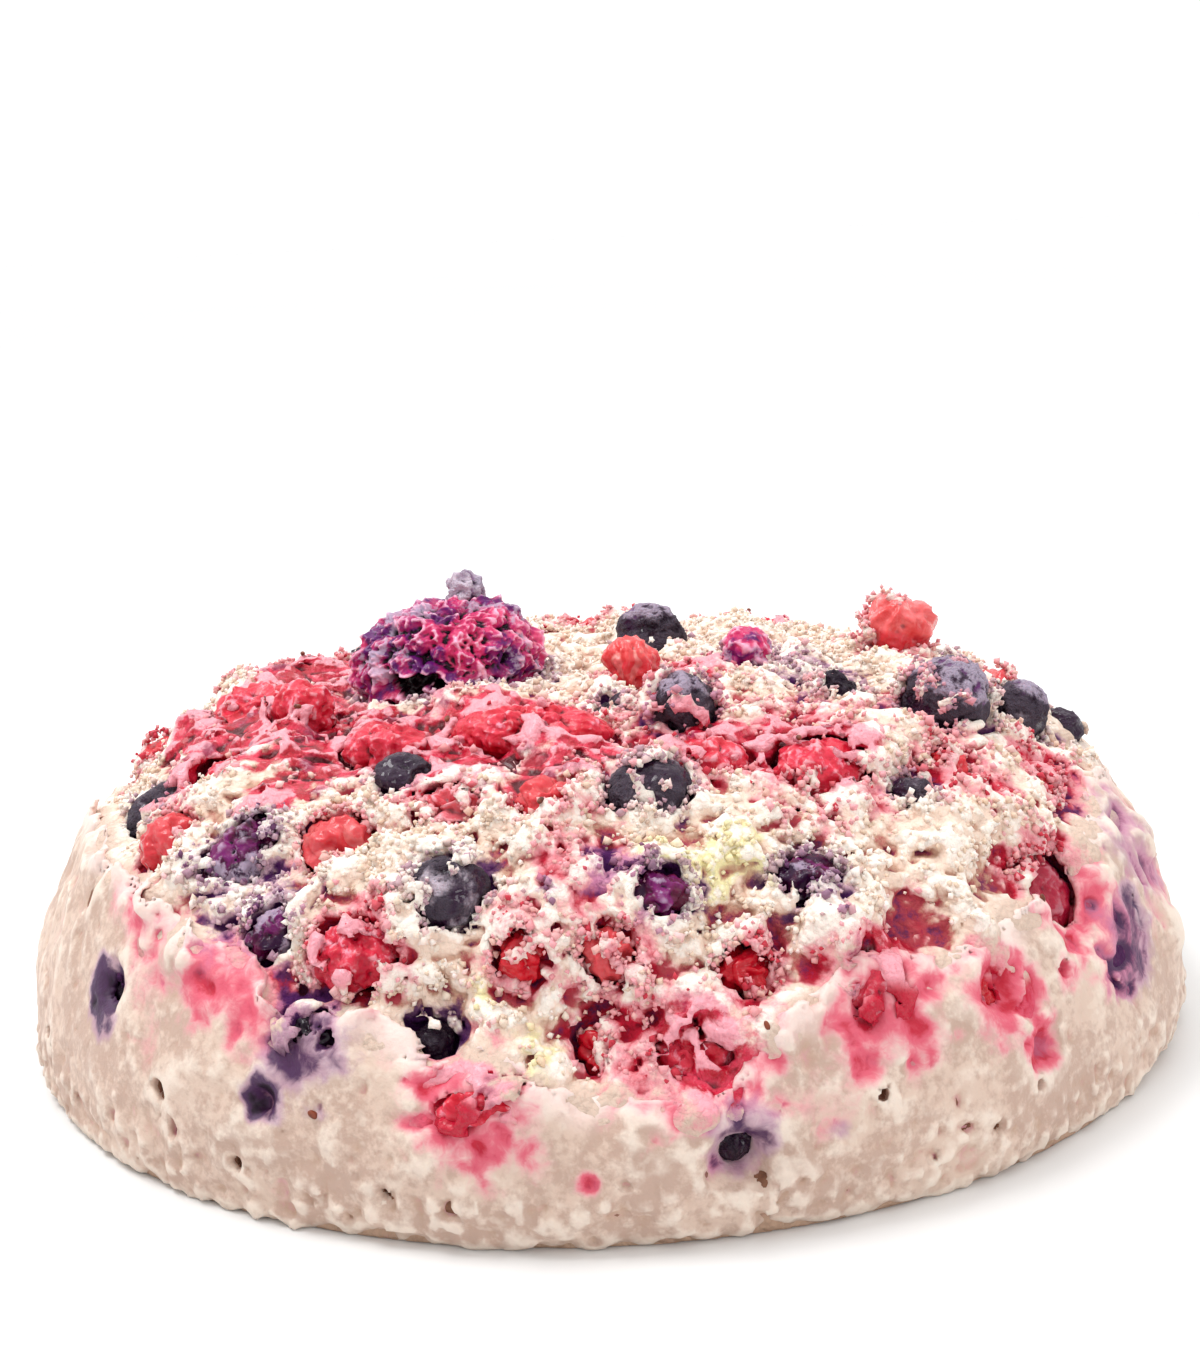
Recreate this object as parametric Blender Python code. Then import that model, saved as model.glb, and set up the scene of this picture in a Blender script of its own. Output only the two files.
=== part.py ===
"""A berry bowl cake: a low dome of pale batter, turned out of its bowl, with mixed berries baked in.

The lower wall kept the smooth skin that lay against the bowl. Higher up the skin has torn off, and
the crumb and the berries show. Origin: centre of the flat underside. +Z up, the shown side faces -Y.
"""

import math
import random
from collections import namedtuple

import bmesh
import bpy
from mathutils import Matrix, Vector, noise

MM = 0.001

# The dome, in millimetres.
BASE_RADIUS = 65.0
HEIGHT = 40.0
WALL_POWER = 4.7
CROWN_POWER = 2.0
BULGE = 1.0
BULGE_HEIGHT = 8.0
FOOT_TUCK = 0.3
FOOT_HEIGHT = 3.5
BELOW_TABLE = 2.0
# Above this share of the height the outline closes on the crown without the bulge.
CROWN_SHARE = 0.999
OUTLINE_STEPS = 1500
NORMAL_STEP = 0.5

# The relief of the surface, in millimetres.
SLOW_LUMP = 1.1
SLOW_LUMP_SIZE = 24.0
SKIN_WAVE = 0.55
SKIN_WAVE_SIZE = 10.0
SKIN_WAVE_SHIFT = Vector((9, 0, 0))
TORN_DEPTH = 1.3
CRAG = 2.6
CRAG_SIZE = 8.0
CRAG_MIDDLE = 0.42
TEAR_SOFTNESS = 2.5
TEAR_RAGGED = 2.5
TEAR_RAGGED_SIZE = 6.0
# The share of a mark's radius that keeps its full height.
MARK_FLAT = 0.2

# Where the skin stops: (bearing in degrees, millimetres down from the crown).
TEAR_LINE = (
    (0, 56), (22, 60), (50, 64), (78, 60), (105, 66), (140, 61), (170, 65), (195, 60),
    (213, 60), (233, 64), (243, 69), (254, 70), (270, 75), (278, 76), (286, 69),
    (293, 65), (306, 67), (322, 64), (338, 60),
)

# Hollows sink into the surface and flaps stand out from it, each with soft sides.
Mark = namedtuple("Mark", "bearing down radius height")

HOLLOWS = (
    Mark(212, 24, 4.5, -3.0),
    Mark(280, 82, 4.0, -3.0),
    Mark(287, 62.5, 3.5, -2.2),
    Mark(262, 66, 2.5, -1.8),
    Mark(236, 81, 3.0, -1.8),
    Mark(321, 67, 7.0, -2.2),
    Mark(256, 70, 3.0, -1.8),
    Mark(306, 72, 3.5, -1.8),
    Mark(310, 79, 2.5, -1.6),
    Mark(219, 72, 3.0, -1.8),
    Mark(205, 49, 4.0, -2.2),
    Mark(120, 40, 6.0, -2.0),
    Mark(35, 55, 5.0, -2.0),
    Mark(100, 74, 4.0, -1.8),
    Mark(160, 76, 3.5, -1.8),
)
FLAPS = (
    Mark(291, 63, 4.0, 2.4),
    Mark(284, 71, 3.5, 1.8),
    Mark(277, 77, 3.0, 1.6),
    Mark(222, 61, 5.0, 1.6),
    Mark(229, 66, 4.0, 1.4),
    Mark(262, 75, 6.0, 0.9),
    Mark(345, 58, 4.5, 1.6),
    Mark(341, 68, 4.5, 1.6),
    Mark(338, 77, 4.5, 1.2),
    Mark(303, 60, 3.5, 1.4),
    Mark(80, 58, 5.0, 1.6),
    Mark(130, 62, 5.0, 1.6),
    Mark(15, 62, 4.0, 1.4),
)

BEARING_STEPS = 216
DOWN_STEPS = 76
EVEN_CELL = 0.6
BODY_SHARE_KEPT = 0.0172
CREST_SHARE_KEPT = 0.42
CREASE = math.radians(50)
SOCKET_GAP = 0.6
SEED = 7

# bearing: degrees about +Z from +X. down: millimetres along the dome from its crown.
# across, upright, thick: the fruit's size round the dome, up it and through it.
# proud: how far it stands out of the crumb round it.
Fruit = namedtuple("Fruit", "bearing down across upright thick proud")

BRAMBLES = (
    Fruit(180, 16.5, 21, 25, 15, 9.8),
    Fruit(10, 18, 8.5, 8.5, 8.5, 5.2),
    Fruit(292, 56.5, 7.5, 6, 5.5, 1.2),
    Fruit(276, 56.5, 7.5, 6, 5, 1.0),
    Fruit(226.5, 54.5, 8.5, 11, 7.5, 2.2),
    Fruit(236, 62.5, 6.5, 7, 5.5, 1.3),
    Fruit(150, 66, 11, 9, 8, 1.2),
)
RASPBERRIES = (
    Fruit(177, 41, 14, 11, 9, 3.4),
    Fruit(194, 33.5, 10, 9, 8.5, 4.0),
    Fruit(227, 32, 12, 9, 7.5, 3.0),
    Fruit(255, 25, 20, 10, 8, 3.0),
    Fruit(204, 46, 12, 8, 7, 2.2),
    Fruit(288, 36, 11, 8, 6.5, 2.0),
    Fruit(303, 41.5, 12, 9, 6.5, 2.0),
    Fruit(250, 42, 8.5, 7, 6, 1.6),
    Fruit(246, 63.5, 10, 8.5, 6, 1.1),
    Fruit(321, 66, 12, 10.5, 7, 0.8),
    Fruit(294, 69.5, 9, 8, 5, 0.5),
    Fruit(244, 71.5, 8, 5.5, 5, 0.7),
    Fruit(277.5, 72.5, 9, 6, 5, 0.6),
    Fruit(260, 76, 11, 5, 4.5, 0.4),
    Fruit(60, 49, 14, 12, 9, 2.6),
    Fruit(112, 58, 13, 11, 8, 1.6),
    Fruit(85, 72, 10, 8, 6, 0.8),
)
REDCURRANTS = (
    Fruit(215, 57, 8.5, 7.5, 7, 2.0),
    Fruit(237, 50, 9, 8.5, 7.5, 2.0),
    Fruit(303, 8, 7.5, 7.5, 7.5, 4.6),
    Fruit(15, 38, 10, 10, 10, 7.6),
    Fruit(283, 65, 7, 6, 5.5, 0.8),
    Fruit(264, 43, 8, 7, 6, 1.5),
    Fruit(262.5, 62.5, 6.5, 5.5, 5.5, 1.1),
    Fruit(269.5, 71.5, 5, 6.5, 4.5, 0.8),
    Fruit(334, 56, 8, 5, 5.5, 1.5),
    Fruit(320.5, 48, 6, 5, 5, 1.3),
    Fruit(10, 51, 7.5, 6.5, 6.5, 2.6),
    Fruit(270.5, 62.5, 6.5, 6, 5.5, 0.9),
    Fruit(305, 72.5, 6, 6, 5, 0.7),
    Fruit(90, 36, 9, 9, 8, 3.4),
    Fruit(170, 57, 9, 8, 7.5, 2.4),
    Fruit(40, 70, 8, 8, 6.5, 1.0),
)
BLUEBERRIES = (
    Fruit(170, 14.5, 6.6, 6.6, 6.6, 14.0),
    Fruit(254, 56, 9.5, 8, 7.5, 1.8),
    Fruit(277, 42, 9.5, 9, 8, 2.5),
    Fruit(66, 18, 10.5, 10, 9.5, 6.0),
    Fruit(292, 25, 8.5, 8.5, 8.5, 5.0),
    Fruit(279, 16.5, 6.5, 6.5, 6.5, 2.6),
    Fruit(336, 42, 12, 11, 11, 7.4),
    Fruit(349, 49.5, 9, 8.5, 8.5, 4.6),
    Fruit(358, 57, 7, 5.5, 5.5, 2.0),
    Fruit(331, 30, 6.5, 6.5, 6.5, 2.6),
    Fruit(311, 49.5, 5.5, 5.5, 5.5, 1.8),
    Fruit(199, 55.5, 9, 8, 6.5, 1.5),
    Fruit(239, 38, 8, 6.5, 5.5, 1.6),
    Fruit(254.5, 71, 6, 5, 4.5, 0.5),
    Fruit(280, 80, 4.5, 5.5, 4.5, 0.4),
    Fruit(218, 73, 4.5, 7, 4.5, 0.4),
    Fruit(130, 46, 10, 10, 9, 3.0),
    Fruit(70, 62, 9, 9, 8, 1.4),
)
# A ball of 320 triangles touches one this much smaller, inside.
ICOSPHERE_INNER = 0.982
# Rings and sides of the turned fruit.
BALL_LEVELS = 5
BALL_SIDES = 8
# A small crushed fruit's radius in its plainest place, and how much and how often it varies.
LUMPY_RADIUS = 0.94
LUMPY_SWELL = 0.16
LUMPY_FREQUENCY = 2.2
# How far a fruit may turn in its place, in degrees, and how far over it lies, in radians.
TWIST = 10
LIE = (0.6, 1.5)
# Crushed fruit whose lobes are modelled one by one. The others are too small for it.
LOBED_LENGTH = 11.5
LOBES = 17
LOBE_HEIGHT = 0.16
LOBE_REACH = 1.75
LOBE_PUSH = 0.18
# The crest is a clump of crushed fruit, with more lobes and deeper folds.
CREST_LENGTH = 20.0
CREST_LOBES = 34
CREST_LOBE_HEIGHT = 0.2
CREST_FOLD = 0.16
CREST_FOLD_FREQUENCY = 1.9

COLOURS = {
    "cake": (0.80, 0.70, 0.63),
    "bramble": (0.16, 0.03, 0.13),
    "raspberry": (0.62, 0.05, 0.12),
    "redcurrant": (0.78, 0.12, 0.10),
    "blueberry": (0.12, 0.12, 0.19),
}
ROUGHNESS = {"cake": 0.75, "bramble": 0.35, "raspberry": 0.3, "redcurrant": 0.25, "blueberry": 0.55}


def clear_scene():
    for obj in list(bpy.data.objects):
        bpy.data.objects.remove(obj)


def finish_of(kind):
    """The kind's one material."""
    made = bpy.data.materials.get(kind)
    if made is None:
        made = bpy.data.materials.new(kind)
        made.use_nodes = True
        shader = made.node_tree.nodes["Principled BSDF"]
        shader.inputs["Base Color"].default_value = (*COLOURS[kind], 1)
        shader.inputs["Roughness"].default_value = ROUGHNESS[kind]
        shader.inputs["Metallic"].default_value = 0.0
    return made


def smooth_step(low, high, value):
    share = min(max((value - low) / (high - low), 0.0), 1.0)
    return share * share * (3 - 2 * share)


def outline(turn):
    """Radius and height of the smooth dome, for a turn from 0 at the table to pi/2 at the crown."""
    radius = BASE_RADIUS * max(math.cos(turn), 0.0) ** (2 / WALL_POWER)
    height = HEIGHT * math.sin(turn) ** (2 / CROWN_POWER)
    radius += BULGE * math.exp(-(((height - BULGE_HEIGHT) / BULGE_HEIGHT) ** 2))
    radius -= FOOT_TUCK * (1 - smooth_step(0, FOOT_HEIGHT, height))
    if height > HEIGHT * CROWN_SHARE:
        radius = min(radius, BASE_RADIUS * math.cos(turn) ** (2 / WALL_POWER))
    return radius, height


def measured_outline():
    """The outline as (millimetres down from the crown, radius, height), crown first."""
    rows = []
    gone = 0.0
    last = (0.0, HEIGHT)
    for step in range(OUTLINE_STEPS + 1):
        # The radius falls steeply at the crown, so the turns crowd together there.
        turn = math.pi / 2 * (1 - (step / OUTLINE_STEPS) ** 3)
        here = outline(turn) if step else (0.0, HEIGHT)
        gone += math.dist(here, last)
        rows.append((gone, *here))
        last = here
    return rows


OUTLINE = measured_outline()
WHOLE_WAY = OUTLINE[-1][0]


def outline_at(down):
    """Radius and height at that many millimetres down from the crown."""
    low, high = 0, len(OUTLINE) - 1
    while high - low > 1:
        middle = (low + high) // 2
        if OUTLINE[middle][0] <= down:
            low = middle
        else:
            high = middle
    share = (down - OUTLINE[low][0]) / max(OUTLINE[high][0] - OUTLINE[low][0], 1e-9)
    share = min(max(share, 0.0), 1.0)
    radius = OUTLINE[low][1] + share * (OUTLINE[high][1] - OUTLINE[low][1])
    height = OUTLINE[low][2] + share * (OUTLINE[high][2] - OUTLINE[low][2])
    return radius, height


def smooth_dome(bearing, down):
    """Point and outward normal of the dome before its relief. bearing is in radians."""
    radius, height = outline_at(down)
    outer = outline_at(min(down + NORMAL_STEP, WHOLE_WAY))
    inner = outline_at(max(down - NORMAL_STEP, 0.0))
    slope = Vector((outer[0] - inner[0], 0, outer[1] - inner[1])).normalized()
    out = Vector((math.cos(bearing), math.sin(bearing), 0))
    normal = out * -slope.z + Vector((0, 0, slope.x))
    return out * radius + Vector((0, 0, height)), normal.normalized()


def tear_down(bearing):
    """How far down the skin is torn off at this bearing, in millimetres."""
    degrees = math.degrees(bearing) % 360
    rows = [*TEAR_LINE, (TEAR_LINE[0][0] + 360, TEAR_LINE[0][1])]
    for (low, first), (high, second) in zip(rows, rows[1:]):
        if low <= degrees <= high:
            share = smooth_step(low, high, degrees)
            return first + share * (second - first)
    return rows[0][1]


def torn(bearing, down, point):
    """0 on the skin, 1 where the crumb is bare."""
    ragged = TEAR_RAGGED * noise.noise(point / TEAR_RAGGED_SIZE)
    return 1 - smooth_step(-TEAR_SOFTNESS, TEAR_SOFTNESS, down - tear_down(bearing) + ragged)


def marked_height(point):
    """What the hollows and the flaps add at this point of the smooth dome, in millimetres."""
    height = 0.0
    for centre, mark in MARKS:
        away = (point - centre).length / mark.radius
        height += mark.height * (1 - smooth_step(MARK_FLAT, 1.0, away))
    return height


def relief(bearing, down, point):
    """How far the cake's surface stands out from the smooth dome, in millimetres."""
    bare = torn(bearing, down, point)
    lumps = SLOW_LUMP * noise.noise(point / SLOW_LUMP_SIZE)
    skin = SKIN_WAVE * noise.noise(point / SKIN_WAVE_SIZE + SKIN_WAVE_SHIFT)
    crags = CRAG * (noise.turbulence(point / CRAG_SIZE, 2, False) - CRAG_MIDDLE)
    fade = smooth_step(0, FOOT_HEIGHT, point.z)
    rough = lumps + (1 - bare) * skin + bare * (crags - TORN_DEPTH)
    return fade * (rough + marked_height(point))


MARKS = [(smooth_dome(math.radians(m.bearing), m.down)[0], m) for m in HOLLOWS + FLAPS]


def cake_point(bearing, down):
    point, normal = smooth_dome(bearing, down)
    return point + normal * relief(bearing, down, point), normal


def add_object(name, kind, mesh_maker):
    """A smooth-shaded object from a bmesh in millimetres."""
    made = bmesh.new()
    mesh_maker(made)
    bmesh.ops.scale(made, vec=(MM, MM, MM), verts=made.verts)
    bmesh.ops.recalc_face_normals(made, faces=made.faces)
    mesh = bpy.data.meshes.new(name)
    made.to_mesh(mesh)
    made.free()
    mesh.shade_smooth()
    obj = bpy.data.objects.new(name, mesh)
    bpy.context.scene.collection.objects.link(obj)
    if kind:
        mesh.materials.append(finish_of(kind))
    return obj


def dome_mesh(made):
    """The whole dome with its relief, running down through the table, where it is cut flat."""
    rings = []
    for row in range(1, DOWN_STEPS + 1):
        ring = []
        for step in range(BEARING_STEPS):
            bearing = math.tau * step / BEARING_STEPS
            point, _ = cake_point(bearing, WHOLE_WAY * row / DOWN_STEPS)
            ring.append(made.verts.new(point))
        rings.append(ring)
    skirt = [made.verts.new((v.co.x, v.co.y, -BELOW_TABLE)) for v in rings[-1]]
    rings.append(skirt)
    crown = made.verts.new(cake_point(0.0, 0.0)[0])
    middle = made.verts.new((0, 0, -BELOW_TABLE))
    for step in range(BEARING_STEPS):
        after = (step + 1) % BEARING_STEPS
        made.faces.new((crown, rings[0][step], rings[0][after]))
        for upper, lower in zip(rings, rings[1:]):
            made.faces.new((upper[step], lower[step], lower[after], upper[after]))
        made.faces.new((skirt[step], middle, skirt[after]))


def table_mesh(made):
    """Everything below the table, to cut the underside flat."""
    bmesh.ops.create_cube(made, size=1)
    side = 3 * BASE_RADIUS
    bmesh.ops.scale(made, vec=(side, side, 4 * BELOW_TABLE), verts=made.verts)
    bmesh.ops.translate(made, vec=(0, 0, -2 * BELOW_TABLE), verts=made.verts)


def spread_directions(count):
    """Directions spread evenly over a ball, by the golden angle."""
    golden = math.pi * (3 - math.sqrt(5))
    found = []
    for index in range(count):
        height = 1 - 2 * (index + 0.5) / count
        across = math.sqrt(1 - height * height)
        angle = golden * index
        found.append(Vector((across * math.cos(angle), across * math.sin(angle), height)))
    return found


def turned(made, profile):
    """A closed turned shape from (radius, height) pairs, of which the first and last lie on the axis."""
    rings = []
    for radius, height in profile[1:-1]:
        ring = []
        for side in range(BALL_SIDES):
            angle = math.tau * side / BALL_SIDES
            ring.append(made.verts.new((radius * math.cos(angle), radius * math.sin(angle), height)))
        rings.append(ring)
    low = made.verts.new((0, 0, profile[0][1]))
    high = made.verts.new((0, 0, profile[-1][1]))
    for side in range(BALL_SIDES):
        after = (side + 1) % BALL_SIDES
        made.faces.new((low, rings[0][after], rings[0][side]))
        made.faces.new((high, rings[-1][side], rings[-1][after]))
        for lower, upper in zip(rings, rings[1:]):
            made.faces.new((lower[side], lower[after], upper[after], upper[side]))


def ball_profile():
    angles = [math.pi * level / BALL_LEVELS for level in range(BALL_LEVELS + 1)]
    return [(math.sin(angle), -math.cos(angle)) for angle in angles]


def blueberry_shape(made, _draw):
    """A ball of radius 1 with the blossom end's shallow crown."""
    body = ball_profile()[:-2]
    turned(made, [*body, (0.62, 0.77), (0.38, 0.92), (0.26, 0.78), (0, 0.72)])


def redcurrant_shape(made, _draw):
    """A ball of radius 1 with the dried flower's stub."""
    turned(made, [*ball_profile()[:-1], (0.2, 0.92), (0, 1.0)])


def lumpy_shape(made, draw):
    """A small crushed fruit: an uneven ball of radius 1."""
    bmesh.ops.create_icosphere(made, subdivisions=2, radius=1)
    shift = Vector((draw.uniform(0, 50), draw.uniform(0, 50), draw.uniform(0, 50)))
    for vert in made.verts:
        swell = LUMPY_SWELL * noise.noise(vert.co * LUMPY_FREQUENCY + shift)
        vert.co *= min(LUMPY_RADIUS + swell, 1.0)


def scattered_directions(count, draw):
    """Directions spread over a ball, each pushed a little out of line."""
    found = []
    for direction in spread_directions(count):
        push = Vector((draw.uniform(-1, 1), draw.uniform(-1, 1), draw.uniform(-1, 1)))
        found.append(direction.lerp(push, LOBE_PUSH).normalized())
    return found


def lobe_swell(direction, lobes):
    """1 on the middle of a lobe, 0 in the creases between them."""
    reach = LOBE_REACH / math.sqrt(len(lobes))
    nearest = min((direction - lobe).length for lobe in lobes)
    return math.sqrt(max(1 - (nearest / reach) ** 2, 0.0))


def lobed_shape(made, draw):
    """A crushed raspberry or bramble: a ball of radius 1 with a lobe for each drupelet."""
    bmesh.ops.create_icosphere(made, subdivisions=3, radius=1)
    lobes = scattered_directions(LOBES, draw)
    for vert in made.verts:
        direction = vert.co.normalized()
        vert.co = direction * (1 - LOBE_HEIGHT + LOBE_HEIGHT * lobe_swell(direction, lobes))


def crest_shape(made, draw):
    """The clump of crushed brambles on top: lobes, and folds that run across them."""
    bmesh.ops.create_icosphere(made, subdivisions=4, radius=1)
    lobes = scattered_directions(CREST_LOBES, draw)
    for vert in made.verts:
        direction = vert.co.normalized()
        fold = CREST_FOLD * abs(noise.noise(direction * CREST_FOLD_FREQUENCY))
        lobe = CREST_LOBE_HEIGHT * (1 - lobe_swell(direction, lobes))
        vert.co = direction * (1 - lobe - fold)


def place_of(fruit, twist):
    """The matrix that puts a ball of radius 1 where the fruit lies, in millimetres."""
    bearing = math.radians(fruit.bearing)
    point, normal = cake_point(bearing, fruit.down)
    around = Vector((-math.sin(bearing), math.cos(bearing), 0))
    upward = normal.cross(around).normalized()
    centre = point + normal * (fruit.proud - fruit.thick / 2)
    axes = Matrix((around, upward, normal)).transposed().to_4x4()
    size = Matrix.Diagonal((fruit.across / 2, fruit.upright / 2, fruit.thick / 2, 1))
    return Matrix.Translation(centre) @ axes @ Matrix.Rotation(twist, 4, "Z") @ size


def grown(place, by):
    """The same place with each half size larger by that many millimetres."""
    centre, turn, size = place.decompose()
    return Matrix.LocRotScale(centre, turn, size + Vector((by, by, by)))


def shape_of(kind, fruit):
    if kind == "blueberry":
        return blueberry_shape
    if kind == "redcurrant":
        return redcurrant_shape
    if fruit.across >= CREST_LENGTH:
        return crest_shape
    return lobed_shape if fruit.across >= LOBED_LENGTH else lumpy_shape


def add_fruit(name, kind, fruit, draw):
    """The fruit's solid, lying on its side."""
    place = place_of(fruit, math.radians(draw.uniform(-TWIST, TWIST)))
    side = Vector((draw.uniform(-1, 1), draw.uniform(-1, 1), 0))
    lie = Matrix.Rotation(draw.uniform(*LIE), 4, side)

    def maker(made):
        shape_of(kind, fruit)(made, draw)
        bmesh.ops.transform(made, matrix=place @ lie, verts=made.verts)

    return add_object(name, kind, maker), place


def add_cutter(name, mesh_maker):
    cutter = add_object(name, None, mesh_maker)
    cutter.hide_render = True
    cutter.display_type = "WIRE"
    return cutter


def add_socket(name, place):
    """The hollow that a fruit lies in, slightly larger than the fruit."""
    def maker(made):
        bmesh.ops.create_icosphere(made, subdivisions=3, radius=1 / ICOSPHERE_INNER)
        bmesh.ops.transform(made, matrix=grown(place, SOCKET_GAP), verts=made.verts)

    return add_cutter(name + "_socket", maker)


def cut(obj, name, **operand):
    """Takes the operand away from the object."""
    modifier = obj.modifiers.new(name, "BOOLEAN")
    modifier.operation = "DIFFERENCE"
    modifier.solver = "EXACT"
    for key, value in operand.items():
        setattr(modifier, key, value)


def even_out(obj):
    """Rebuilds the surface from even cells, which rounds the rims that the cuts left."""
    modifier = obj.modifiers.new("even cells", "REMESH")
    modifier.mode = "VOXEL"
    modifier.voxel_size = EVEN_CELL * MM


def thin(obj, share):
    """Keeps this share of the object's triangles."""
    modifier = obj.modifiers.new("fewer faces", "DECIMATE")
    modifier.ratio = share


def settle(obj):
    """Applies the object's modifiers."""
    seen = bpy.context.evaluated_depsgraph_get()
    mesh = bpy.data.meshes.new_from_object(obj.evaluated_get(seen), depsgraph=seen)
    obj.modifiers.clear()
    obj.data = mesh
    mesh.shade_smooth()
    mesh.set_sharp_from_angle(angle=CREASE)


def joined_to(first):
    """The vertex and all that hang together with it."""
    found = {first}
    ends = [first]
    while ends:
        for edge in ends.pop().link_edges:
            for vert in edge.verts:
                if vert not in found:
                    found.add(vert)
                    ends.append(vert)
    return found


def drop_scraps(obj):
    """Keeps the mesh's largest piece and drops the loose specks."""
    made = bmesh.new()
    made.from_mesh(obj.data)
    pieces = []
    left = set(made.verts)
    while left:
        piece = joined_to(next(iter(left)))
        pieces.append(piece)
        left -= piece
    largest = max(pieces, key=len)
    bmesh.ops.delete(made, geom=[v for v in made.verts if v not in largest], context="VERTS")
    made.to_mesh(obj.data)
    made.free()


def build():
    clear_scene()
    draw = random.Random(SEED)
    sockets = bpy.data.collections.new("sockets")
    bpy.context.scene.collection.children.link(sockets)
    cake = add_object("cake", "cake", dome_mesh)

    groups = (
        ("bramble", BRAMBLES),
        ("raspberry", RASPBERRIES),
        ("redcurrant", REDCURRANTS),
        ("blueberry", BLUEBERRIES),
    )
    fruit = {}
    for kind, rows in groups:
        for number, row in enumerate(rows, 1):
            name = f"{kind}_{number:02d}"
            fruit[name], place = add_fruit(name, kind, row, draw)
            socket = add_socket(name, place)
            bpy.context.scene.collection.objects.unlink(socket)
            sockets.objects.link(socket)

    cut(cake, "sockets", operand_type="COLLECTION", collection=sockets)
    even_out(cake)
    thin(cake, BODY_SHARE_KEPT)
    settle(cake)
    drop_scraps(cake)
    cut(cake, "flat underside", object=add_cutter("table_cutter", table_mesh))
    settle(cake)

    # The small berry on top presses into the crest under it.
    crest = fruit["bramble_01"]
    thin(crest, CREST_SHARE_KEPT)
    cut(crest, "dent", object=sockets.objects["blueberry_01_socket"])
    settle(crest)


build()
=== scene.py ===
"""The looks of a berry bowl cake: torn crumb, smooth skin, stains, crushed fruit and its stage.

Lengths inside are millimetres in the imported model's frame, and turn into metres as each mesh is made.
"""

import itertools
import math

import bmesh
import bpy
import numpy as np
from mathutils import Matrix, Vector, noise
from mathutils.kdtree import KDTree


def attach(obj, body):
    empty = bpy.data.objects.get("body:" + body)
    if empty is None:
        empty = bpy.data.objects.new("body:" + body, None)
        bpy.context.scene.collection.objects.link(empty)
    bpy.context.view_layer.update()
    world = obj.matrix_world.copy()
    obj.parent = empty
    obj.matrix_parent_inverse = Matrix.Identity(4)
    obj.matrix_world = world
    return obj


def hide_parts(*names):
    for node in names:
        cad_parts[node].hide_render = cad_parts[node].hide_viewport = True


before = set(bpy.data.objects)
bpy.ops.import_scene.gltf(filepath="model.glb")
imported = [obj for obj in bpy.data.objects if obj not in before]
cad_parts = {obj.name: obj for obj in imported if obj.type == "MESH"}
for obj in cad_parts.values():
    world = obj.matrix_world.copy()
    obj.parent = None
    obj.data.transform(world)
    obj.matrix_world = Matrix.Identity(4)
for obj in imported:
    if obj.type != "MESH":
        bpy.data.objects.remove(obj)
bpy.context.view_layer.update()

bl_info = {
    "name": "Berry bowl cake",
    "version": (1, 0, 0),
    "blender": (4, 5, 0),
    "location": "View3D > Sidebar > Bowl cake",
    "description": "Dresses the packed bowl cake with crumb, skin and fruit",
    "category": "Object",
}

MM = 0.001

# The dome, its lumps and its torn edge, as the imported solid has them, in millimetres.
BASE_RADIUS = 65.0
HEIGHT = 40.0
WALL_POWER = 4.7
BULGE = 1.0
BULGE_HEIGHT = 8.0
FOOT_TUCK = 0.3
FOOT_HEIGHT = 3.5
SLOW_LUMP = 1.1
SLOW_LUMP_SIZE = 24.0
SKIN_WAVE = 0.55
SKIN_WAVE_SIZE = 10.0
TORN_DEPTH = 1.3
CRAG = 2.6
CRAG_MIDDLE = 0.42
CRAG_SIZE = 8.0
TEAR_SOFTNESS = 2.5
TEAR_RAGGED = 2.5
TEAR_RAGGED_SIZE = 6.0
# Bearing in degrees about +Z from +X, and millimetres down the dome from its crown.
TEAR_LINE = (
    (0, 56), (22, 60), (50, 64), (78, 60), (105, 66), (140, 61), (170, 65), (195, 60),
    (213, 60), (233, 64), (243, 69), (254, 70), (270, 75), (278, 76), (286, 69),
    (293, 65), (306, 67), (322, 64), (338, 60), (360, 56),
)
# Bearing, way down, radius and height of each hollow and each flap. The hollow at 240.4 is where the
# photographed one lies, 5 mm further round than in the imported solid.
HOLLOWS = (
    (212, 24, 4.5, -3.0), (280, 82, 4.0, -3.0), (287, 62.5, 3.5, -2.2), (262, 66, 2.5, -1.8),
    (240.4, 78, 2.2, -2.0), (321, 67, 7.0, -2.2), (256, 70, 3.0, -1.8), (306, 72, 3.5, -1.8),
    (310, 79, 2.5, -1.6), (219, 72, 3.0, -1.8), (205, 49, 4.0, -2.2), (120, 40, 6.0, -2.0),
    (35, 55, 5.0, -2.0), (100, 74, 4.0, -1.8), (160, 76, 3.5, -1.8),
)
FLAPS = (
    (291, 63, 4.0, 2.4), (284, 71, 3.5, 1.8), (277, 77, 3.0, 1.6), (222, 61, 5.0, 1.6),
    (229, 66, 4.0, 1.4), (262, 75, 6.0, 0.9), (345, 58, 4.5, 1.6), (341, 68, 4.5, 1.6),
    (338, 77, 4.5, 1.2), (303, 60, 3.5, 1.4), (80, 58, 5.0, 1.6), (130, 62, 5.0, 1.6),
    (15, 62, 4.0, 1.4),
)

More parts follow.
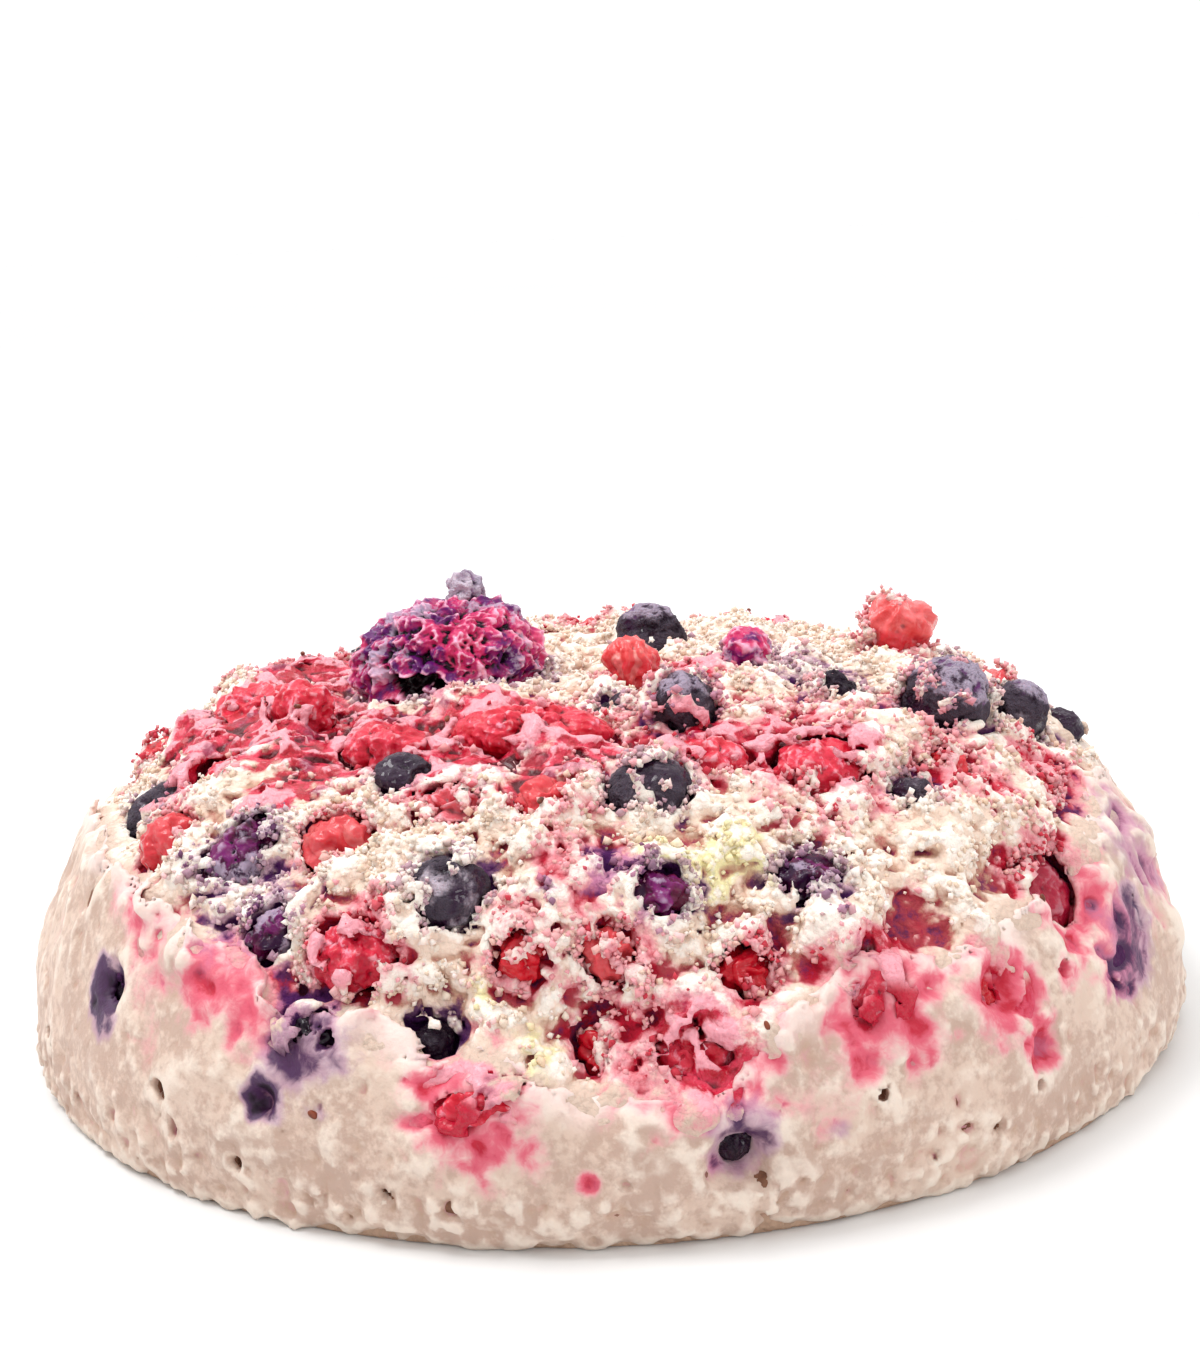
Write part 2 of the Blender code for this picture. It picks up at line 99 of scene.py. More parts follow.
# Bearing, way down, radius and strength of the places where juice has run into the batter,
# and of the other patches below.
RED_STAINS = (
    (270, 30, 20, 0.55), (310, 34, 16, 0.6), (350, 15, 14, 0.35), (330, 42, 11, 0.6),
    (196, 36, 17, 1.0), (222, 30, 15, 1.0), (250, 26, 15, 1.0), (205, 47, 10, 0.9),
    (285, 30, 13, 0.75), (300, 41, 12, 0.95), (288, 37, 9, 0.9), (320, 50, 9, 0.8),
    (247, 42, 7, 0.9), (264, 44, 7, 0.7), (246, 63, 8, 1.0), (262, 61, 6, 0.75),
    (271, 62, 8, 0.75), (283, 65, 6, 1.0), (294, 69, 9, 0.95), (277, 72, 11, 0.9),
    (259, 76, 8, 0.95), (270, 71, 4, 1.0), (306, 72, 7, 0.9), (321, 66, 10, 0.95),
    (309.2, 78.5, 4.0, 0.95), (315, 73, 3.0, 0.8), (325, 74, 7, 0.9), (234, 67, 7, 0.85),
    (218, 62, 6, 0.55), (240, 70, 6, 0.7), (224, 66, 8, 0.4),
    (226, 77, 4, 0.18), (268, 83, 1.6, 0.7), (336, 55, 9, 0.9), (340, 68, 12, 0.4), (268, 54, 8, 0.7),
    (60, 49, 13, 0.95), (90, 36, 11, 0.8), (112, 58, 13, 0.85), (150, 40, 15, 0.9),
    (40, 68, 8, 0.8), (85, 72, 8, 0.9), (135, 66, 10, 0.5), (20, 40, 10, 0.6),
    (172, 56, 9, 0.8), (300, 64, 6, 0.5), (288, 78, 5, 0.3), (2, 12, 7, 0.85),
)
PURPLE_STAINS = (
    (211, 24.5, 5, 1.3),
    (182, 17, 15, 0.9), (228, 56, 8, 0.75), (218, 73, 5, 1.2), (244, 71.5, 6.5, 1.0),
    (240.5, 77.9, 3.3, 1.6), (280, 80, 4.5, 0.9), (326, 75, 7, 0.85), (292, 57, 6, 0.8),
    (276, 57, 6, 0.8), (255, 70, 4, 0.6), (348, 24, 9, 0.6), (205, 53, 7, 0.5),
    (338, 66, 10, 0.5), (330, 72, 4, 0.8), (150, 66, 9, 0.8), (130, 46, 8, 0.6), (70, 62, 7, 0.6),
    (288.4, 80.7, 1.8, 0.5), (331, 32, 6, 0.5), (271, 53, 4.5, 0.85), (265, 56, 2.5, 0.9),
    (232, 62, 6, 0.6), (236, 60, 6, 0.8), (228, 52, 7, 0.8),
)
YELLOW_PATCHES = (
    (282, 54, 7, 1.2), (276, 50, 4, 1.0), (260, 66, 3.5, 1.0), (265, 70, 4.5, 1.0),
    (316, 54, 4, 0.5), (300, 52, 3, 0.5), (95, 50, 5, 0.8), (25, 50, 4, 0.6),
)
# Places where the wall is folded.
FOLDED_PATCHES = (
    (203, 64, 14, 1.0), (222, 62, 10, 0.9), (190, 70, 10, 0.7), (332, 66, 14, 1.0), (347, 66, 16, 1.0),
    (300, 66, 9, 0.7), (285, 72, 8, 0.7), (262, 70, 8, 0.6), (60, 70, 14, 0.8), (120, 70, 14, 0.8),
)
# Places where the fruit is mashed and wet, with little crumb on it.
PULP_PATCHES = (
    (190, 38, 16, 1.0), (215, 32, 15, 1.0), (243, 28, 15, 1.0), (204, 48, 9, 1.0),
    (268, 30, 9, 0.9), (287, 34, 8, 0.9), (303, 40, 8, 0.95), (224, 45, 7, 0.9), (262, 38, 7, 0.8),
    (312, 30, 6, 0.6), (321, 67, 6, 0.7), (2, 12, 5.5, 0.85),
    (246, 63, 5, 0.7), (294, 69, 6, 0.9), (278, 72, 7, 0.7), (259, 76, 6, 0.9),
    (60, 49, 9, 1.0), (112, 58, 9, 1.0), (160, 36, 12, 0.9),
)

# Share of each kind that crumb and film cover, and the fruit that differ.
COVER = {"bramble": 0.30, "raspberry": 0.34, "redcurrant": 0.42, "blueberry": 0.30}
COVER_OF = {
    "bramble_01": 0.0, "bramble_02": 0.15, "bramble_05": 0.0, "bramble_06": 0.0,
    "blueberry_01": 0.0, "blueberry_07": 0.3,
    "blueberry_03": 0.36, "blueberry_08": 0.15, "blueberry_04": 0.15, "blueberry_02": 0.36,
    "blueberry_05": 0.42,
    "redcurrant_01": 0.2, "redcurrant_02": 0.2, "redcurrant_03": 0.15, "redcurrant_04": 0.22,
    "redcurrant_05": 0.25, "redcurrant_07": 0.5, "redcurrant_12": 0.35, "raspberry_01": 0.05,
    "raspberry_02": 0.05, "raspberry_03": 0.05, "raspberry_04": 0.1, "raspberry_05": 0.15,
    "raspberry_10": 0.15, "raspberry_12": 0.6, "raspberry_14": 0.45, "raspberry_11": 0.6,
}

# From 0, dark or soaked, to 1, pale or thick with bloom.
TONE_OF = {
    "bramble_02": 0.75, "bramble_03": 0.1, "bramble_04": 0.1, "bramble_05": 0.15, "bramble_06": 0.0,
    "blueberry_01": 0.84, "blueberry_02": 0.74, "blueberry_03": 0.72, "blueberry_04": 0.4,
    "blueberry_05": 0.7, "blueberry_07": 0.3, "blueberry_08": 0.6, "blueberry_10": 0.15,
    "blueberry_11": 0.68, "blueberry_12": 0.72, "blueberry_13": 0.42, "blueberry_14": 0.0,
    "blueberry_15": 0.1, "blueberry_16": 0.0, "blueberry_17": 0.7,
    "redcurrant_01": 0.7, "redcurrant_02": 0.75, "redcurrant_03": 0.6, "redcurrant_04": 0.7,
    "redcurrant_05": 0.0, "redcurrant_06": 0.65, "redcurrant_08": 0.1, "redcurrant_09": 0.6,
    "redcurrant_11": 0.8, "redcurrant_12": 0.95, "redcurrant_13": 0.2, "redcurrant_15": 0.7,
    "raspberry_02": 0.35, "raspberry_03": 0.3, "raspberry_08": 0.75, "raspberry_09": 0.25,
    "raspberry_10": 0.0, "raspberry_11": 0.2, "raspberry_12": -0.6, "raspberry_14": 0.6,
    "raspberry_16": 0.2,
}

# The cave under the clump on the crest, sunk in and painted near black as shade: its middle and its half
# sizes.
CAVE = ((-20.6, -9.6, 38.4), (4.6, 3.6, 2.0))
# Bearing, way down and radius of the deep pits in the wall, and of the seeds that lie on it.
PITS = (
    (240.4, 78.0, 1.2), (279.6, 81.9, 1.2), (286.8, 62.2, 1.0), (261.6, 66.1, 1.3), (281.6, 84.4, 0.9),
    (256.8, 62.3, 0.9), (292, 78.3, 0.8), (255.6, 69.8, 0.9), (306, 71, 0.9), (310, 78.7, 0.9),
    (229, 79.5, 1.3), (231, 83, 1.0), (227, 84, 0.8), (238, 84.5, 1.0), (315, 73, 0.9),
    (323, 77.8, 1.0), (300, 83.5, 0.8), (303, 84.5, 0.9), (299, 80.5, 0.7), (252, 84.5, 0.8),
    (222, 84.5, 0.8), (308, 82, 0.7),
    (246, 71.5, 1.0), (205, 82, 0.9), (40, 80, 1.0), (75, 70, 1.0), (100, 82, 0.9), (140, 75, 1.1),
    (165, 80, 0.9), (185, 77, 0.8), (355, 82, 0.9), (20, 75, 0.8), (120, 84, 0.9), (60, 84.5, 0.9),
)
SEEDS = (
    (246, 77.6, 0.62), (203, 33, 0.5), (236, 27, 0.5), (262, 45, 0.5), (296, 39, 0.5), (318, 63, 0.5),
    (281, 67, 0.45), (60, 45, 0.5), (110, 57, 0.5), (88, 79, 0.6), (150, 38, 0.5), (20, 71, 0.55),
)

# Most triangles in the crumb and in the skin.
FACES_LIMIT = 190000
# Half lengths in millimetres: a longer dark berry is the clump on the crest, and a longer raspberry
# gets a finer ball.
CLUMP_REACH = 10.0
LARGE_REACH = 6.4
# The raspberries that have burst open, by number, and the wrinkled berry on top of the clump.
BURST_RASPBERRIES = (1, 8)
KNOB = "blueberry_01"
# How far out a seed looks for the surface that it lies on, as a share, and its shape.
SEED_REACH = 1.08
SEED_SHAPE = np.array((0.55, 0.55, 1.0))
# Shares of a patch's radius where it begins to fade, and where it ends.
PATCH_HEART = 0.35
PATCH_EDGE = 1.15
# How much crumb shows a few millimetres in under the skin's torn edge, against 1 on the top.
UNDER_SKIN = 0.35
# The batter's lowest point, and how far round a fruit the batter heeds it.
BATTER_FOOT = 0.05
FRUIT_MARGIN = 3.0
# The grid: half its width, grid steps to a block, and blocks worked out in one go.
GRID_HALF = 69.0
BLOCK = 8
BLOCKS_AT_ONCE = 800
# How often the normals are averaged before the wide neighbourhood is judged.
NORMAL_ROUNDS = 10
# The underside: faces that look down more steeply than this, and lie lower than this many millimetres.
UNDER_SLOPE = -0.7
UNDER_HEIGHT = 0.4
# The map for baking, in its own units: middle and radius of the top's disc and of the underside's,
# and the radius of a fruit's half in a cell of its own. The top's disc takes in the dome's whole
# slope times MAP_MARGIN, and the underside's a radius of UNDER_REACH millimetres.
MAP_MARGIN = 1.05
UNDER_REACH = 70.0
TOP_DISC = (0.335, 0.33)
UNDER_DISC = (0.83, 0.16)
FRUIT_DISC = 0.42

# Light under the batter's surface spreads this far in red, green and blue, as shares.
CRUMB_SPREAD = (1.0, 0.6, 0.5)
BATTER_SPREAD = (1.0, 0.5, 0.4)

# Tones that the finishes use beside a maker's colours.
# Painted highlight on the tops of the crumb's clumps.
CRUMB_HIGHLIGHT = (0.94, 0.85, 0.77)
# Painted shade on the crumb under the skin, where it shows through above the foot.
CRUMB_UNDER_SHADE = (0.22, 0.10, 0.06)
LOOSE_DULL = (0.74, 0.56, 0.43)
LOOSE_PALE = (0.95, 0.86, 0.78)
LOOSE_LILAC = (0.36, 0.18, 0.31)
LOOSE_PURPLE = (0.09, 0.015, 0.09)
# Painted shade in the pores of crumb soaked with red juice, and of crumb soaked with purple juice.
RED_PORE_SHADE = (0.34, 0.004, 0.02)
PURPLE_PORE_SHADE = (0.06, 0.006, 0.08)
LILAC_CRUMB = (0.38, 0.16, 0.33)
MASH_DARK = (0.44, 0.004, 0.02)
MASH_BRIGHT = (0.66, 0.03, 0.075)
# Painted highlight on the pulp's ridges, and pale patches in it.
MASH_HIGHLIGHT = (0.84, 0.34, 0.40)
MASH_BROWN = (0.24, 0.02, 0.07)
# Painted shade in the pulp's creases.
MASH_CREASE_SHADE = (0.10, 0.001, 0.008)
BLUSH = (0.82, 0.35, 0.40)
STAIN = (0.66, 0.07, 0.13)
MAUVE = (0.40, 0.21, 0.36)
BLACKISH = (0.010, 0.001, 0.009)
SKIN_FLECK = (0.78, 0.66, 0.56)
# Painted highlight on the skin's ridges.
SKIN_RIDGE_HIGHLIGHT = (0.86, 0.76, 0.66)
SKIN_LIP = (0.84, 0.64, 0.60)
SKIN_FOOT = (0.34, 0.20, 0.13)
SEED_DARK = (0.09, 0.014, 0.006)
SEED_BROWN = (0.22, 0.045, 0.016)
CLUMP_RED = (0.60, 0.03, 0.13)
ASH = (0.46, 0.36, 0.48)
# Painted highlights on the dark berries' ridges: pink, and lilac on the soaked ones.
PINK_HIGHLIGHT = (0.88, 0.48, 0.64)
LILAC_HIGHLIGHT = (0.55, 0.44, 0.58)
# Painted shade in the cave under the clump on the crest.
CAVE_SHADE = (0.004, 0.0005, 0.002)
RASPBERRY_RED = (0.66, 0.028, 0.06)
# Painted shade in a raspberry's creases.
RASPBERRY_CREASE_SHADE = (0.13, 0.001, 0.006)
RASPBERRY_SHEEN = (0.86, 0.42, 0.48)
RASPBERRY_PALE = (0.86, 0.34, 0.38)
RASPBERRY_DARK = (0.24, 0.004, 0.03)
CURRANT_RED = (0.74, 0.06, 0.065)
# Painted shade in a redcurrant's creases.
CURRANT_CREASE_SHADE = (0.20, 0.001, 0.003)
CURRANT_PALE = (0.88, 0.27, 0.27)
CURRANT_DARK = (0.36, 0.001, 0.003)
BLOOM_PALE = (0.74, 0.62, 0.72)
FLOOR_PALE = (0.97, 0.97, 0.97)


def colour(name, description, default):
    """A colour that a maker can change."""
    return bpy.props.FloatVectorProperty(
        name=name, description=description, subtype="COLOR", size=3, default=default,
    )


class CakeSizes(bpy.types.PropertyGroup):
    """What a maker would change about the cake's surface."""

    cell: bpy.props.FloatProperty(
        name="Cell", description="Grid step that the crumb is built on, in millimetres",
        default=0.42, min=0.3, max=2.0,
    )
    skin_cell: bpy.props.FloatProperty(
        name="Skin cell", description="Grid step that the skin is built on, in millimetres",
        default=0.46, min=0.3, max=2.0,
    )
    skin_thickness: bpy.props.FloatProperty(
        name="Skin thickness", description="How thick the smooth skin is, in millimetres", default=1.7,
    )
    crumb_height: bpy.props.FloatProperty(
        name="Crumb height", description="How far the crumb's clumps stand out, in millimetres",
        default=1.0,
    )
    loose_crumbs: bpy.props.IntProperty(
        name="Loose crumbs", description="How many loose crumbs lie on the torn top", default=24000,
    )


class CakeColours(bpy.types.PropertyGroup):
    """The batter's colours and what the juice makes of them."""

    crumb: colour("Crumb", "Bare crumb", (0.84, 0.655, 0.54))
    # Painted shade in the bare crumb's pores and hollows.
    crumb_pore_shade: colour("Crumb in the pores", "Bare crumb in its hollows", (0.52, 0.29, 0.20))
    skin: colour("Skin", "Smooth skin of the wall", (0.51, 0.355, 0.285))
    skin_pale: colour("Pale skin", "Paler blotches of the skin", (0.65, 0.49, 0.40))
    # rim also gives the painted shade in the skin's hollows.
    rim: colour("Rim", "Browner foot of the wall", (0.50, 0.33, 0.235))
    pink: colour("Pink", "Batter with a little red juice", (0.78, 0.25, 0.31))
    red: colour("Red", "Batter soaked with red juice", (0.50, 0.006, 0.03))
    purple: colour("Purple", "Batter soaked with dark juice", (0.045, 0.006, 0.06))
    yellow: colour("Yellow", "Egg-yellow crumb", (0.84, 0.75, 0.42))


class FruitColours(bpy.types.PropertyGroup):
    """The fruit's colours."""

    bloom: colour("Bloom", "Grey bloom on a blueberry", (0.36, 0.29, 0.38))
    slate: colour("Slate", "Blueberry skin", (0.035, 0.015, 0.035))
    # ink also gives the painted shade in the fruit's creases, and where a blueberry sinks into the cake.
    ink_and_shade: colour("Ink", "Darkest crushed skin", (0.008, 0.001, 0.008))
    violet: colour("Violet", "Crushed dark flesh", (0.11, 0.008, 0.12))
    magenta: colour("Magenta", "Juicy dark flesh", (0.42, 0.015, 0.12))
    crimson: colour("Crimson", "Raspberry flesh", (0.52, 0.004, 0.02))
    rose: colour("Rose", "Pale crushed flesh", (0.80, 0.25, 0.33))
    scarlet: colour("Scarlet", "Redcurrant skin", (0.62, 0.012, 0.014))
    vein: colour("Vein", "Pale veins of a redcurrant", (0.90, 0.42, 0.38))


class StageLook(bpy.types.PropertyGroup):
    """Floor and light."""

    floor: colour("Floor", "The floor's colour", (0.76, 0.765, 0.765))
    sky: bpy.props.FloatProperty(name="Sky", description="Strength of the light all round", default=1.12)
    key_power: bpy.props.FloatProperty(
        name="Key light", description="Power of the large soft light", default=3.4, unit="POWER",
    )


def smooth_step(low, high, value):
    """0 up to low, 1 from high, and smooth between them."""
    share = np.clip((value - low) / (high - low), 0, 1)
    return share * share * (3 - 2 * share)


# The corners of a grid cell, from its lowest on.
CORNERS = np.array(list(itertools.product((0, 1), repeat=3)), np.int32)


class Lattice:
    """Smooth noise, and noise of scattered points, worked out for whole arrays of points."""

    def __init__(self, seed):
        draw = np.random.default_rng(seed)
        self.order = np.tile(draw.permutation(256).astype(np.int32), 3)
        slopes = draw.normal(size=(256, 3))
        self.slopes = (slopes / np.linalg.norm(slopes, axis=1)[:, None]).astype(np.float32)
        self.spots = draw.uniform(0.1, 0.9, size=(256, 3)).astype(np.float32)

    def pick(self, cell):
        """The number that belongs to each cell of the grid."""
        order = self.order
        return order[order[order[cell[:, 0]] + cell[:, 1]] + cell[:, 2]]

    def smooth(self, points, size, shift=0.0):
        """Noise from about -1 to 1, whose lumps are about that size.

        Another shift gives other lumps.
        """
        at = points.astype(np.float32) / np.float32(size) + np.float32(shift)
        low = np.floor(at)
        part = at - low
        cell = low.astype(np.int32) & 255
        fade = part * part * part * (part * (part * 6 - 15) + 10)
        total = np.zeros(len(at), np.float32)
        for corner in CORNERS:
            slope = self.slopes[self.pick((cell + corner) & 255)]
            height = ((part - corner.astype(np.float32)) * slope).sum(1)
            weight = np.where(corner, fade, 1 - fade).prod(1)
            total += height * weight
        return total * 1.6

    def clumps(self, points, size, shift=0.0):
        """1 at the middle of each scattered clump, falling to 0 and below between them."""
        at = points.astype(np.float32) / np.float32(size) + np.float32(shift)
        low = np.floor(at - 0.5)
        nearest = np.full(len(at), 9.0, np.float32)
        for corner in CORNERS:
            cell = low + corner.astype(np.float32)
            spot = self.spots[self.pick(cell.astype(np.int32) & 255)]
            away = ((at - cell - spot) ** 2).sum(1)
            np.minimum(nearest, away, out=nearest)
        return 1 - np.sqrt(nearest) * 1.6


LATTICE = Lattice(11)


def outline(turn):
    """Radius and height of the smooth dome, for turns from 0 at the table to pi/2 at the crown."""
    radius = BASE_RADIUS * np.maximum(np.cos(turn), 0) ** (2 / WALL_POWER)
    height = HEIGHT * np.sin(turn)
    radius = radius + BULGE * np.exp(-(((height - BULGE_HEIGHT) / BULGE_HEIGHT) ** 2))
    return radius - FOOT_TUCK * (1 - smooth_step(0, FOOT_HEIGHT, height)), height


class Dome:
    """Reads how far down the dome, and how far outside it, any point lies."""

    STEP = 0.25
    LOW = -4.0

    def __init__(self):
        turn = math.pi / 2 * (1 - np.linspace(0, 1, 700) ** 3)
        radius, height = outline(turn)
        radius[0] = 0.0
        self.down = np.concatenate(([0], np.cumsum(np.hypot(np.diff(radius), np.diff(height)))))
        self.radius, self.height = radius, height
        slope = np.stack((np.gradient(radius), np.gradient(height)), 1)
        normal = np.stack((-slope[:, 1], slope[:, 0]), 1)
        normal /= np.linalg.norm(normal, axis=1)[:, None] + 1e-9
        r = np.arange(0, 74, self.STEP)
        z = np.arange(self.LOW, 58, self.STEP)
        self.down_table = np.zeros((len(r), len(z)), np.float32)
        self.out_table = np.zeros((len(r), len(z)), np.float32)
        for row, value in enumerate(r):
            gap_r = value - radius[None, :]
            gap_z = np.maximum(z, 0)[:, None] - height[None, :]
            square = gap_r**2 + gap_z**2
            best = square.argmin(1)
            every = np.arange(len(z))
            side = gap_r[0, best] * normal[best, 0] + gap_z[every, best] * normal[best, 1]
            self.down_table[row] = self.down[best]
            self.out_table[row] = np.sqrt(square[every, best]) * np.where(side < 0, -1, 1)

    def read(self, points):
        """Millimetres down from the crown, and millimetres outside the smooth dome."""
        r = np.hypot(points[:, 0], points[:, 1]) / self.STEP
        z = (points[:, 2] - self.LOW) / self.STEP
        r = np.clip(r, 0, self.down_table.shape[0] - 1.001)
        z = np.clip(z, 0, self.down_table.shape[1] - 1.001)
        i, j = r.astype(int), z.astype(int)
        a, b = (r - i).astype(np.float32), (z - j).astype(np.float32)
        found = []
        for table in (self.down_table, self.out_table):
            low = table[i, j] * (1 - b) + table[i, j + 1] * b
            high = table[i + 1, j] * (1 - b) + table[i + 1, j + 1] * b
            found.append(low * (1 - a) + high * a)
        return found

    def points(self, bearing, down):
        """Points of the smooth dome. bearing is in radians."""
        r = np.interp(down, self.down, self.radius)
        z = np.interp(down, self.down, self.height)
        return np.stack((r * np.cos(bearing), r * np.sin(bearing), z), -1)


DOME = Dome()


class Relief:
    """The dome's slow lumps, marks, crags and torn edge, on a grid of bearings and ways down."""

    BEARINGS = 360
    STEPS = 150

    def __init__(self):
        bearing = np.arange(self.BEARINGS) * math.tau / self.BEARINGS
        down = np.linspace(0, DOME.down[-1], self.STEPS)
        grid_b, grid_d = np.meshgrid(bearing, down, indexing="ij")
        points = DOME.points(grid_b, grid_d)
        flat = [Vector(p) for p in points.reshape(-1, 3)]
        shape = grid_b.shape
        lumps = SLOW_LUMP * self.each(flat, lambda p: noise.noise(p / SLOW_LUMP_SIZE), shape)
        off = Vector((9, 0, 0))
        self.skin = SKIN_WAVE * self.each(flat, lambda p: noise.noise(p / SKIN_WAVE_SIZE + off), shape)
        crags = self.each(flat, lambda p: noise.turbulence(p / CRAG_SIZE, 2, False), shape)
        ragged = TEAR_RAGGED * self.each(flat, lambda p: noise.noise(p / TEAR_RAGGED_SIZE), shape)
        marks = np.zeros(shape)
        for place, way, radius, height in HOLLOWS + FLAPS:
            centre = DOME.points(math.radians(place), way)
            away = np.linalg.norm(points - centre, axis=-1) / radius
            marks += height * (1 - smooth_step(0.2, 1.0, away))
        self.fade = smooth_step(0, FOOT_HEIGHT, points[..., 2])
        self.common = lumps + marks
        self.crags = CRAG * (crags - CRAG_MIDDLE) - TORN_DEPTH
        self.below = grid_d - self.tear_line(grid_b) + ragged

    @staticmethod
    def each(points, rule, shape):
        """The rule's number for each point, in the grid's shape."""
        return np.array([rule(p) for p in points]).reshape(shape)

    @staticmethod
    def tear_line(bearing):
        """How far down the dome the skin's torn edge lies. bearing is in radians."""
        degrees = np.degrees(bearing) % 360
        places = np.array([row[0] for row in TEAR_LINE])
        ways = np.array([row[1] for row in TEAR_LINE], float)
        last = np.clip(np.searchsorted(places, degrees, side="right"), 1, len(places) - 1)
        share = smooth_step(places[last - 1], places[last], degrees)
        return ways[last - 1] + share * (ways[last] - ways[last - 1])

    def read(self, points, down):
        """fade, common, skin, crags and below at each point."""
        b = (np.arctan2(points[:, 1], points[:, 0]) % math.tau) * self.BEARINGS / math.tau
        d = np.clip(down / DOME.down[-1] * (self.STEPS - 1), 0, self.STEPS - 1.001)
        i, j = b.astype(int) % self.BEARINGS, d.astype(int)
        k = (i + 1) % self.BEARINGS
        a, c = b - b.astype(int), d - j
        found = []
        for table in (self.fade, self.common, self.skin, self.crags, self.below):
            near = table[i, j] * (1 - c) + table[i, j + 1] * c
            far = table[k, j] * (1 - c) + table[k, j + 1] * c
            found.append((near * (1 - a) + far * a).astype(np.float32))
        return found


RELIEF = Relief()


class Fruit:
    """One packed fruit: its middle, half sizes and axes, and the way out of the cake from it."""

    def __init__(self, node, kind):
        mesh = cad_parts[node].data
        points = np.array([v.co for v in mesh.vertices]) / MM
        self.node, self.kind = node, kind
        self.number = int(node.rsplit("_", 1)[1])
        low, high = points.min(0), points.max(0)
        middle = (low + high) / 2
        _, axes = np.linalg.eigh(np.cov((points - middle).T))
        if np.linalg.det(axes) < 0:
            axes[:, 0] *= -1
        along = (points - middle) @ axes
        self.middle = middle + axes @ ((along.max(0) + along.min(0)) / 2)
        self.half = (along.max(0) - along.min(0)) / 2
        self.axes = axes
        step = np.eye(3) * 0.5
        more = DOME.read(self.middle + step)[1]
        less = DOME.read(self.middle - step)[1]
        self.out = (more - less) / (np.linalg.norm(more - less) + 1e-9)
        self.reach = float(self.half.max())
        self.cover = COVER_OF.get(node, COVER[kind])
        self.tone = TONE_OF.get(node, 0.5)

    def outside(self, points):
        """About how far outside the fruit each point lies, in millimetres."""
        local = (points - self.middle) @ self.axes / self.half
        length = np.linalg.norm(local, axis=1) + 1e-6
        slope = np.linalg.norm(local / length[:, None] / self.half, axis=1)
        return (length - 1) / slope


def fruit_of(kind):
    """All packed fruit of one kind, in the order of their names."""
    names = sorted(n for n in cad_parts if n.startswith(kind + "_"))
    return [Fruit(name, kind) for name in names]


KINDS = ("bramble", "raspberry", "redcurrant", "blueberry")
FRUIT = {kind: fruit_of(kind) for kind in KINDS}
ALL_FRUIT = [one for kind in KINDS for one in FRUIT[kind]]


def patches(points, rows, ragged):
    """The strongest of these patches at each point, with an uneven edge."""
    found = np.zeros(len(points), np.float32)
    ragged = np.broadcast_to(np.asarray(ragged, np.float32), found.shape)
    reach = PATCH_EDGE - float(ragged.min(initial=0.0))
    for place, way, radius, strength in rows:
        centre = DOME.points(math.radians(place), way)
        near = box_of(points, centre, radius * reach)
        if len(near):
            away = np.linalg.norm(points[near] - centre, axis=1) / radius + ragged[near]
            share = strength * (1 - smooth_step(PATCH_HEART, PATCH_EDGE, away))
            found[near] = np.maximum(found[near], share)
    return found


def box_of(points, centre, reach):
    """The numbers of the points in a cube round the centre."""
    near = np.nonzero(np.abs(points[:, 0] - centre[0]) < reach)[0]
    if len(near):
        near = near[(np.abs(points[near, 1:] - centre[1:]) < reach).all(1)]
    return near


def bare_share(below):
    """1 on the torn top, 0 where the skin is whole."""
    return 1 - smooth_step(-TEAR_SOFTNESS, TEAR_SOFTNESS, below)


def open_share(below):
    """1 on the torn top, and still a little for some millimetres in under the skin."""
    return np.maximum(bare_share(below), UNDER_SKIN * (1 - smooth_step(3.0, 7.0, below)))


def dug(points, field, deeper):
    """The field with the pits cut out of it."""
    for place, way, radius in PITS:
        bearing = math.radians(place)
        centre = DOME.points(bearing, way)
        near = box_of(points, centre, radius * 2.5 + 1.0)
        if len(near):
            inward = DOME.points(bearing, way + 0.5) - DOME.points(bearing, way - 0.5)
            side = np.array((-math.sin(bearing), math.cos(bearing), 0.0))
            axis = np.cross(side, inward)
            axis /= np.linalg.norm(axis)
            gap = points[near] - centre
            along = gap @ axis
            across = np.sqrt(np.maximum((gap**2).sum(1) - along**2, 0))
            away = np.hypot(across, along * 0.4) + 0.6 * LATTICE.smooth(points[near], 1.2, 5.8)
            field[near] = np.maximum(field[near], 0.8 * radius * deeper - away)
    return field


def crumb_relief(points, bare, sizes):
    """How far the crumb's clumps and the pulp's folds stand out, in millimetres."""
    mashed = patches(points, PULP_PATCHES, 0.25 * LATTICE.smooth(points, 5.0))
    wobble = LATTICE.smooth(points, 2.6, 3.3)[:, None] * 0.9
    bent = points + wobble * np.array((1, -1, 1), np.float32)
    clumps = np.maximum(LATTICE.clumps(bent, 3.1), -0.5)
    grains = np.maximum(LATTICE.clumps(points, 1.3, 7.7), -0.6)
    pores = np.maximum(LATTICE.smooth(bent, 1.7, 5.1) - 0.22, 0)
    fine = LATTICE.smooth(points, 0.8, 1.7)
    big = np.maximum(LATTICE.clumps(bent, 5.6, 2.2), -0.4)
    crumbly = sizes.crumb_height * (0.6 * big + 0.7 * clumps + 0.7 * grains + 0.2 * fine - 0.2)
    crumbly -= 3.4 * pores
    folds = 1 - np.abs(LATTICE.smooth(bent, 4.2, 9.1)) * 2.2
    small = 1 - np.abs(LATTICE.smooth(bent, 1.9, 4.7)) * 2.2
    gaps = np.maximum(LATTICE.smooth(bent, 2.6, 6.6) - 0.25, 0)
    lines = 1 - np.abs(LATTICE.smooth(bent, 1.05, 2.7)) * 2.2
    wet = 0.85 * folds + 0.6 * small + 0.3 * lines + 0.15 * grains - 3.0 * gaps - 0.7
    return bare * ((1 - mashed) * crumbly + mashed * wet) * smooth_step(0, 1.5, points[:, 2])


def film(points):
    """Noise that says where crumb lies on a fruit, from about -1 to 1."""
    return LATTICE.smooth(points, 3.0, 2.6) + 0.45 * LATTICE.smooth(points, 1.2, 8.8)


